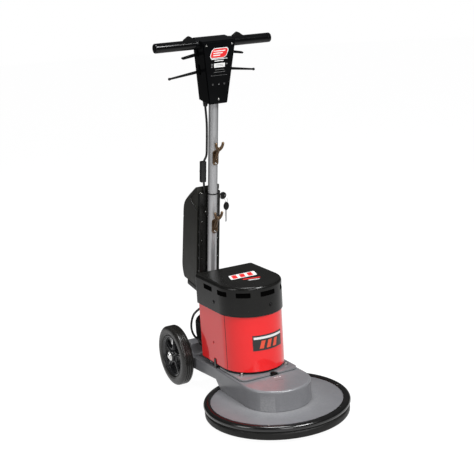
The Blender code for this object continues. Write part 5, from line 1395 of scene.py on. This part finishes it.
SPARE_X, SPARE_S, SPARE_RX, SPARE_RZ = 0.0632, 0.4901, 0.0096, 0.0140
bow = key_bow(SPARE_X, SPARE_S, SPARE_RX, SPARE_RZ)
rib = slab([oval(SPARE_X, SPARE_S, SPARE_RX * k, SPARE_RZ * k, 36) for k in (0.62, 0.50)],
           KEY_Y - 0.0021, KEY_Y + 0.0021, 'XZ')
place_on_handle(merge(bow, rib), "spare_key_bow", "satin_black", "key_plastic", "spare_key",
                body="spare_key")
SPARE_SHANK = [         # (x, s)
    (0.0600, 0.4813), (0.0660, 0.4813), (0.0660, 0.4393), (0.0645, 0.4353), (0.0612, 0.4353),
    (0.0608, 0.4393), (0.0616, 0.4413), (0.0606, 0.4438), (0.0615, 0.4463), (0.0604, 0.4493),
    (0.0612, 0.4523), (0.0600, 0.4553)]
place_on_handle(slab([SPARE_SHANK], KEY_Y - 0.0010, KEY_Y + 0.0010, 'XZ'), "spare_key_shank",
                "ground_steel", "key_plastic", body="spare_key", bevel=0.0003)

# ================================================================= supply cable, base to handle
BASE_PATH = [
    (-0.0640, 0.3150, 0.2480), (-0.0650, 0.3220, 0.2640), (-0.0690, 0.3400, 0.2740),
    (-0.0790, 0.3500, 0.2655), (-0.0943, 0.3520, 0.2519), (-0.1039, 0.3520, 0.2271),
    (-0.1044, 0.3520, 0.2024), (-0.0962, 0.3520, 0.1800), (-0.0850, 0.3520, 0.1690),
    (-0.0790, 0.3500, 0.1530), (-0.0680, 0.3500, 0.1390), (-0.0530, 0.3520, 0.1310),
    (-0.0400, 0.3580, 0.1290), (-0.0335, 0.3690, 0.1350), (-0.0315, 0.3850, 0.1500)]
HANDLE_PATH = [         # in the handle's frame
    (-0.0310, -0.0275, 0.0780), (-0.0310, -0.0200, 0.1020), (-0.0310, -0.0040, 0.1280),
    (-0.0290, 0.0130, 0.1520), (-0.0260, 0.0225, 0.1780), (-0.0250, 0.0235, 0.2000)]
cable = hose(BASE_PATH + [HANDLE @ Vector(q) for q in HANDLE_PATH], 0.0036, 20, 10)
place(cable, "supply_cable", "cable_sheath", None, "cable_rubber", "power_cable", "motor_cable")
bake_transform(cable)

# ================================================================= CAD nodes that stay visible
INSIDE = {
    "motor_can": "satin_black", "magnet_ring": "magnet_dark", "drive_belt": "belt_rubber",
    "bearing_housing": "paint_grey", "spindle_bearing_upper": "ground_steel",
    "spindle_bearing_lower": "ground_steel", "axle": "zinc_plate", "lock_drum": "ground_steel",
    "spindle": "ground_steel", "spindle_pulley": "nylon", "pad_holder": "holder_plastic",
    "motor_shaft": "ground_steel", "armature": "copper_winding", "motor_pulley": "ground_steel",
    "cooling_fan": "satin_black", "lock_rod": "ground_steel",
}
for name, look in INSIDE.items():
    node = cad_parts[name]
    node.data.materials.clear()
    node.data.materials.append(MATS[look])
    edges = node.modifiers.new("Edges", 'BEVEL')
    edges.width = 0.0004
    edges.segments = 2
    edges.limit_method = 'ANGLE'
    edges.angle_limit = radians(40)

# ================================================================= stage, light, camera
# Floor: a lit sheet, nearly white to the camera, that fades into a dim studio for other rays.
FLOOR_R, FLOOR_SIDES = 14, 72
floor_look = bpy.data.materials.new("studio_floor")
floor_look.use_nodes = True
tree = floor_look.node_tree
tree.nodes.clear()
rays = add_node(tree, "LightPath")
geometry = add_node(tree, "NewGeometry")
distance = add_node(tree, "VectorMath", {0: geometry.outputs["Position"]}, 'LENGTH')
glow = add_node(tree, "MapRange", {"From Min": 1.1, "From Max": 2.6, "To Min": 0.66,
                                   "To Max": 0.04, "Value": distance.outputs["Value"]})
# Mirror rays meet the glow at full strength, soft bounce gets less.
share = add_node(tree, "Math", {0: rays.outputs["Is Glossy Ray"], 1: 0.74, 2: 0.26},
                 'MULTIPLY_ADD')
unseen = add_node(tree, "Math", {0: glow.outputs[0], 1: share.outputs[0]}, 'MULTIPLY')
strength = add_node(tree, "MapRange", {"To Min": unseen.outputs[0], "To Max": 0.96,
                                       "Value": rays.outputs["Is Camera Ray"]})
diffuse = add_node(tree, "BsdfDiffuse", {"Color": (0.12, 0.12, 0.12, 1)})
emission = add_node(tree, "Emission", {"Color": (1, 1, 1, 1), "Strength": strength.outputs[0]})
total = add_node(tree, "AddShader", {0: diffuse.outputs[0], 1: emission.outputs[0]})
add_node(tree, "OutputMaterial", {"Surface": total.outputs[0]})

mesh = bpy.data.meshes.new("studio_floor")
mesh.from_pydata([(0, 0, 0)] + [(x, y, 0) for x, y in circle(0, 0, FLOOR_R, FLOOR_SIDES)], [],
                 [(0, 1 + i, 1 + (i + 1) % FLOOR_SIDES) for i in range(FLOOR_SIDES)])
floor = bpy.data.objects.new("studio_floor", mesh)
bpy.context.scene.collection.objects.link(floor)
floor.data.materials.append(floor_look)

# World: white to the camera, a soft grey gradient for light, dimmer still in mirrors.
world = bpy.data.worlds.new("studio")
bpy.context.scene.world = world
world.use_nodes = True
tree = world.node_tree
tree.nodes.clear()
rays = add_node(tree, "LightPath")
texture = add_node(tree, "TexCoord")
split = add_node(tree, "SeparateXYZ", {0: texture.outputs["Generated"]})
sky = ramp(tree, split.outputs["Z"], (0.30, 0.30, 0.30), (0.80, 0.80, 0.82), (0.0, 0.75))
dim = add_node(tree, "MapRange", {"To Min": 0.36, "To Max": 0.10,
                                  "Value": rays.outputs["Is Glossy Ray"]})
seen = add_node(tree, "Background", {"Color": (1, 1, 1, 1), "Strength": 1.0})
fill = add_node(tree, "Background", {"Color": sky, "Strength": dim.outputs[0]})
mixed = add_node(tree, "MixShader", {0: rays.outputs["Is Camera Ray"], 1: fill.outputs[0],
                                     2: seen.outputs[0]})
add_node(tree, "OutputWorld", {"Surface": mixed.outputs[0]})


def area(name, at, look, size, power, colour=(1, 1, 1)):
    """Rectangular light of size (width, height) at one point, aimed at another."""
    light = bpy.data.lights.new(name, 'AREA')
    light.shape = 'RECTANGLE'
    light.size, light.size_y = size
    light.energy = power
    light.color = colour
    obj = bpy.data.objects.new(name, light)
    bpy.context.scene.collection.objects.link(obj)
    obj.location = at
    obj.rotation_mode = 'QUATERNION'
    obj.rotation_quaternion = (Vector(look) - Vector(at)).to_track_quat('-Z', 'Y')


area("key_front", at=(0.75, -2.5, 3.0), look=(0, 0.15, 0.35), size=(1.2, 0.8), power=116,
     colour=(0.99, 0.995, 1.0))
area("softbox_front", at=(-0.9, -2.9, 1.2), look=(0, 0.15, 0.30), size=(0.9, 1.2), power=22)
area("softbox_left", at=(-2.6, -0.3, 1.3), look=(0, 0.15, 0.40), size=(1.0, 1.4), power=20,
     colour=(1.0, 0.995, 0.985))
area("softbox_top", at=(-0.20, -0.15, 2.5), look=(0, 0.2, 0.2), size=(0.8, 0.6), power=34)

camera = bpy.data.cameras.new("camera")
camera.lens = 86.03
camera.sensor_width = 36.0
camera.clip_start, camera.clip_end = 0.05, 100
viewer = bpy.data.objects.new("camera", camera)
bpy.context.scene.collection.objects.link(viewer)
viewer.matrix_world = Matrix((
    (0.8747, -0.4809, -0.0597, 0),          # the camera's right
    (0.1675, 0.1845, 0.9684, 0),            # its up
    (-0.4547, -0.8571, 0.2420, 0),          # its back
    (-1.6061, -2.8328, 1.3827, 1),          # its place
)).transposed()
bpy.context.scene.camera = viewer
bpy.context.scene.view_settings.view_transform = 'Standard'
bpy.context.scene.view_settings.look = 'None'
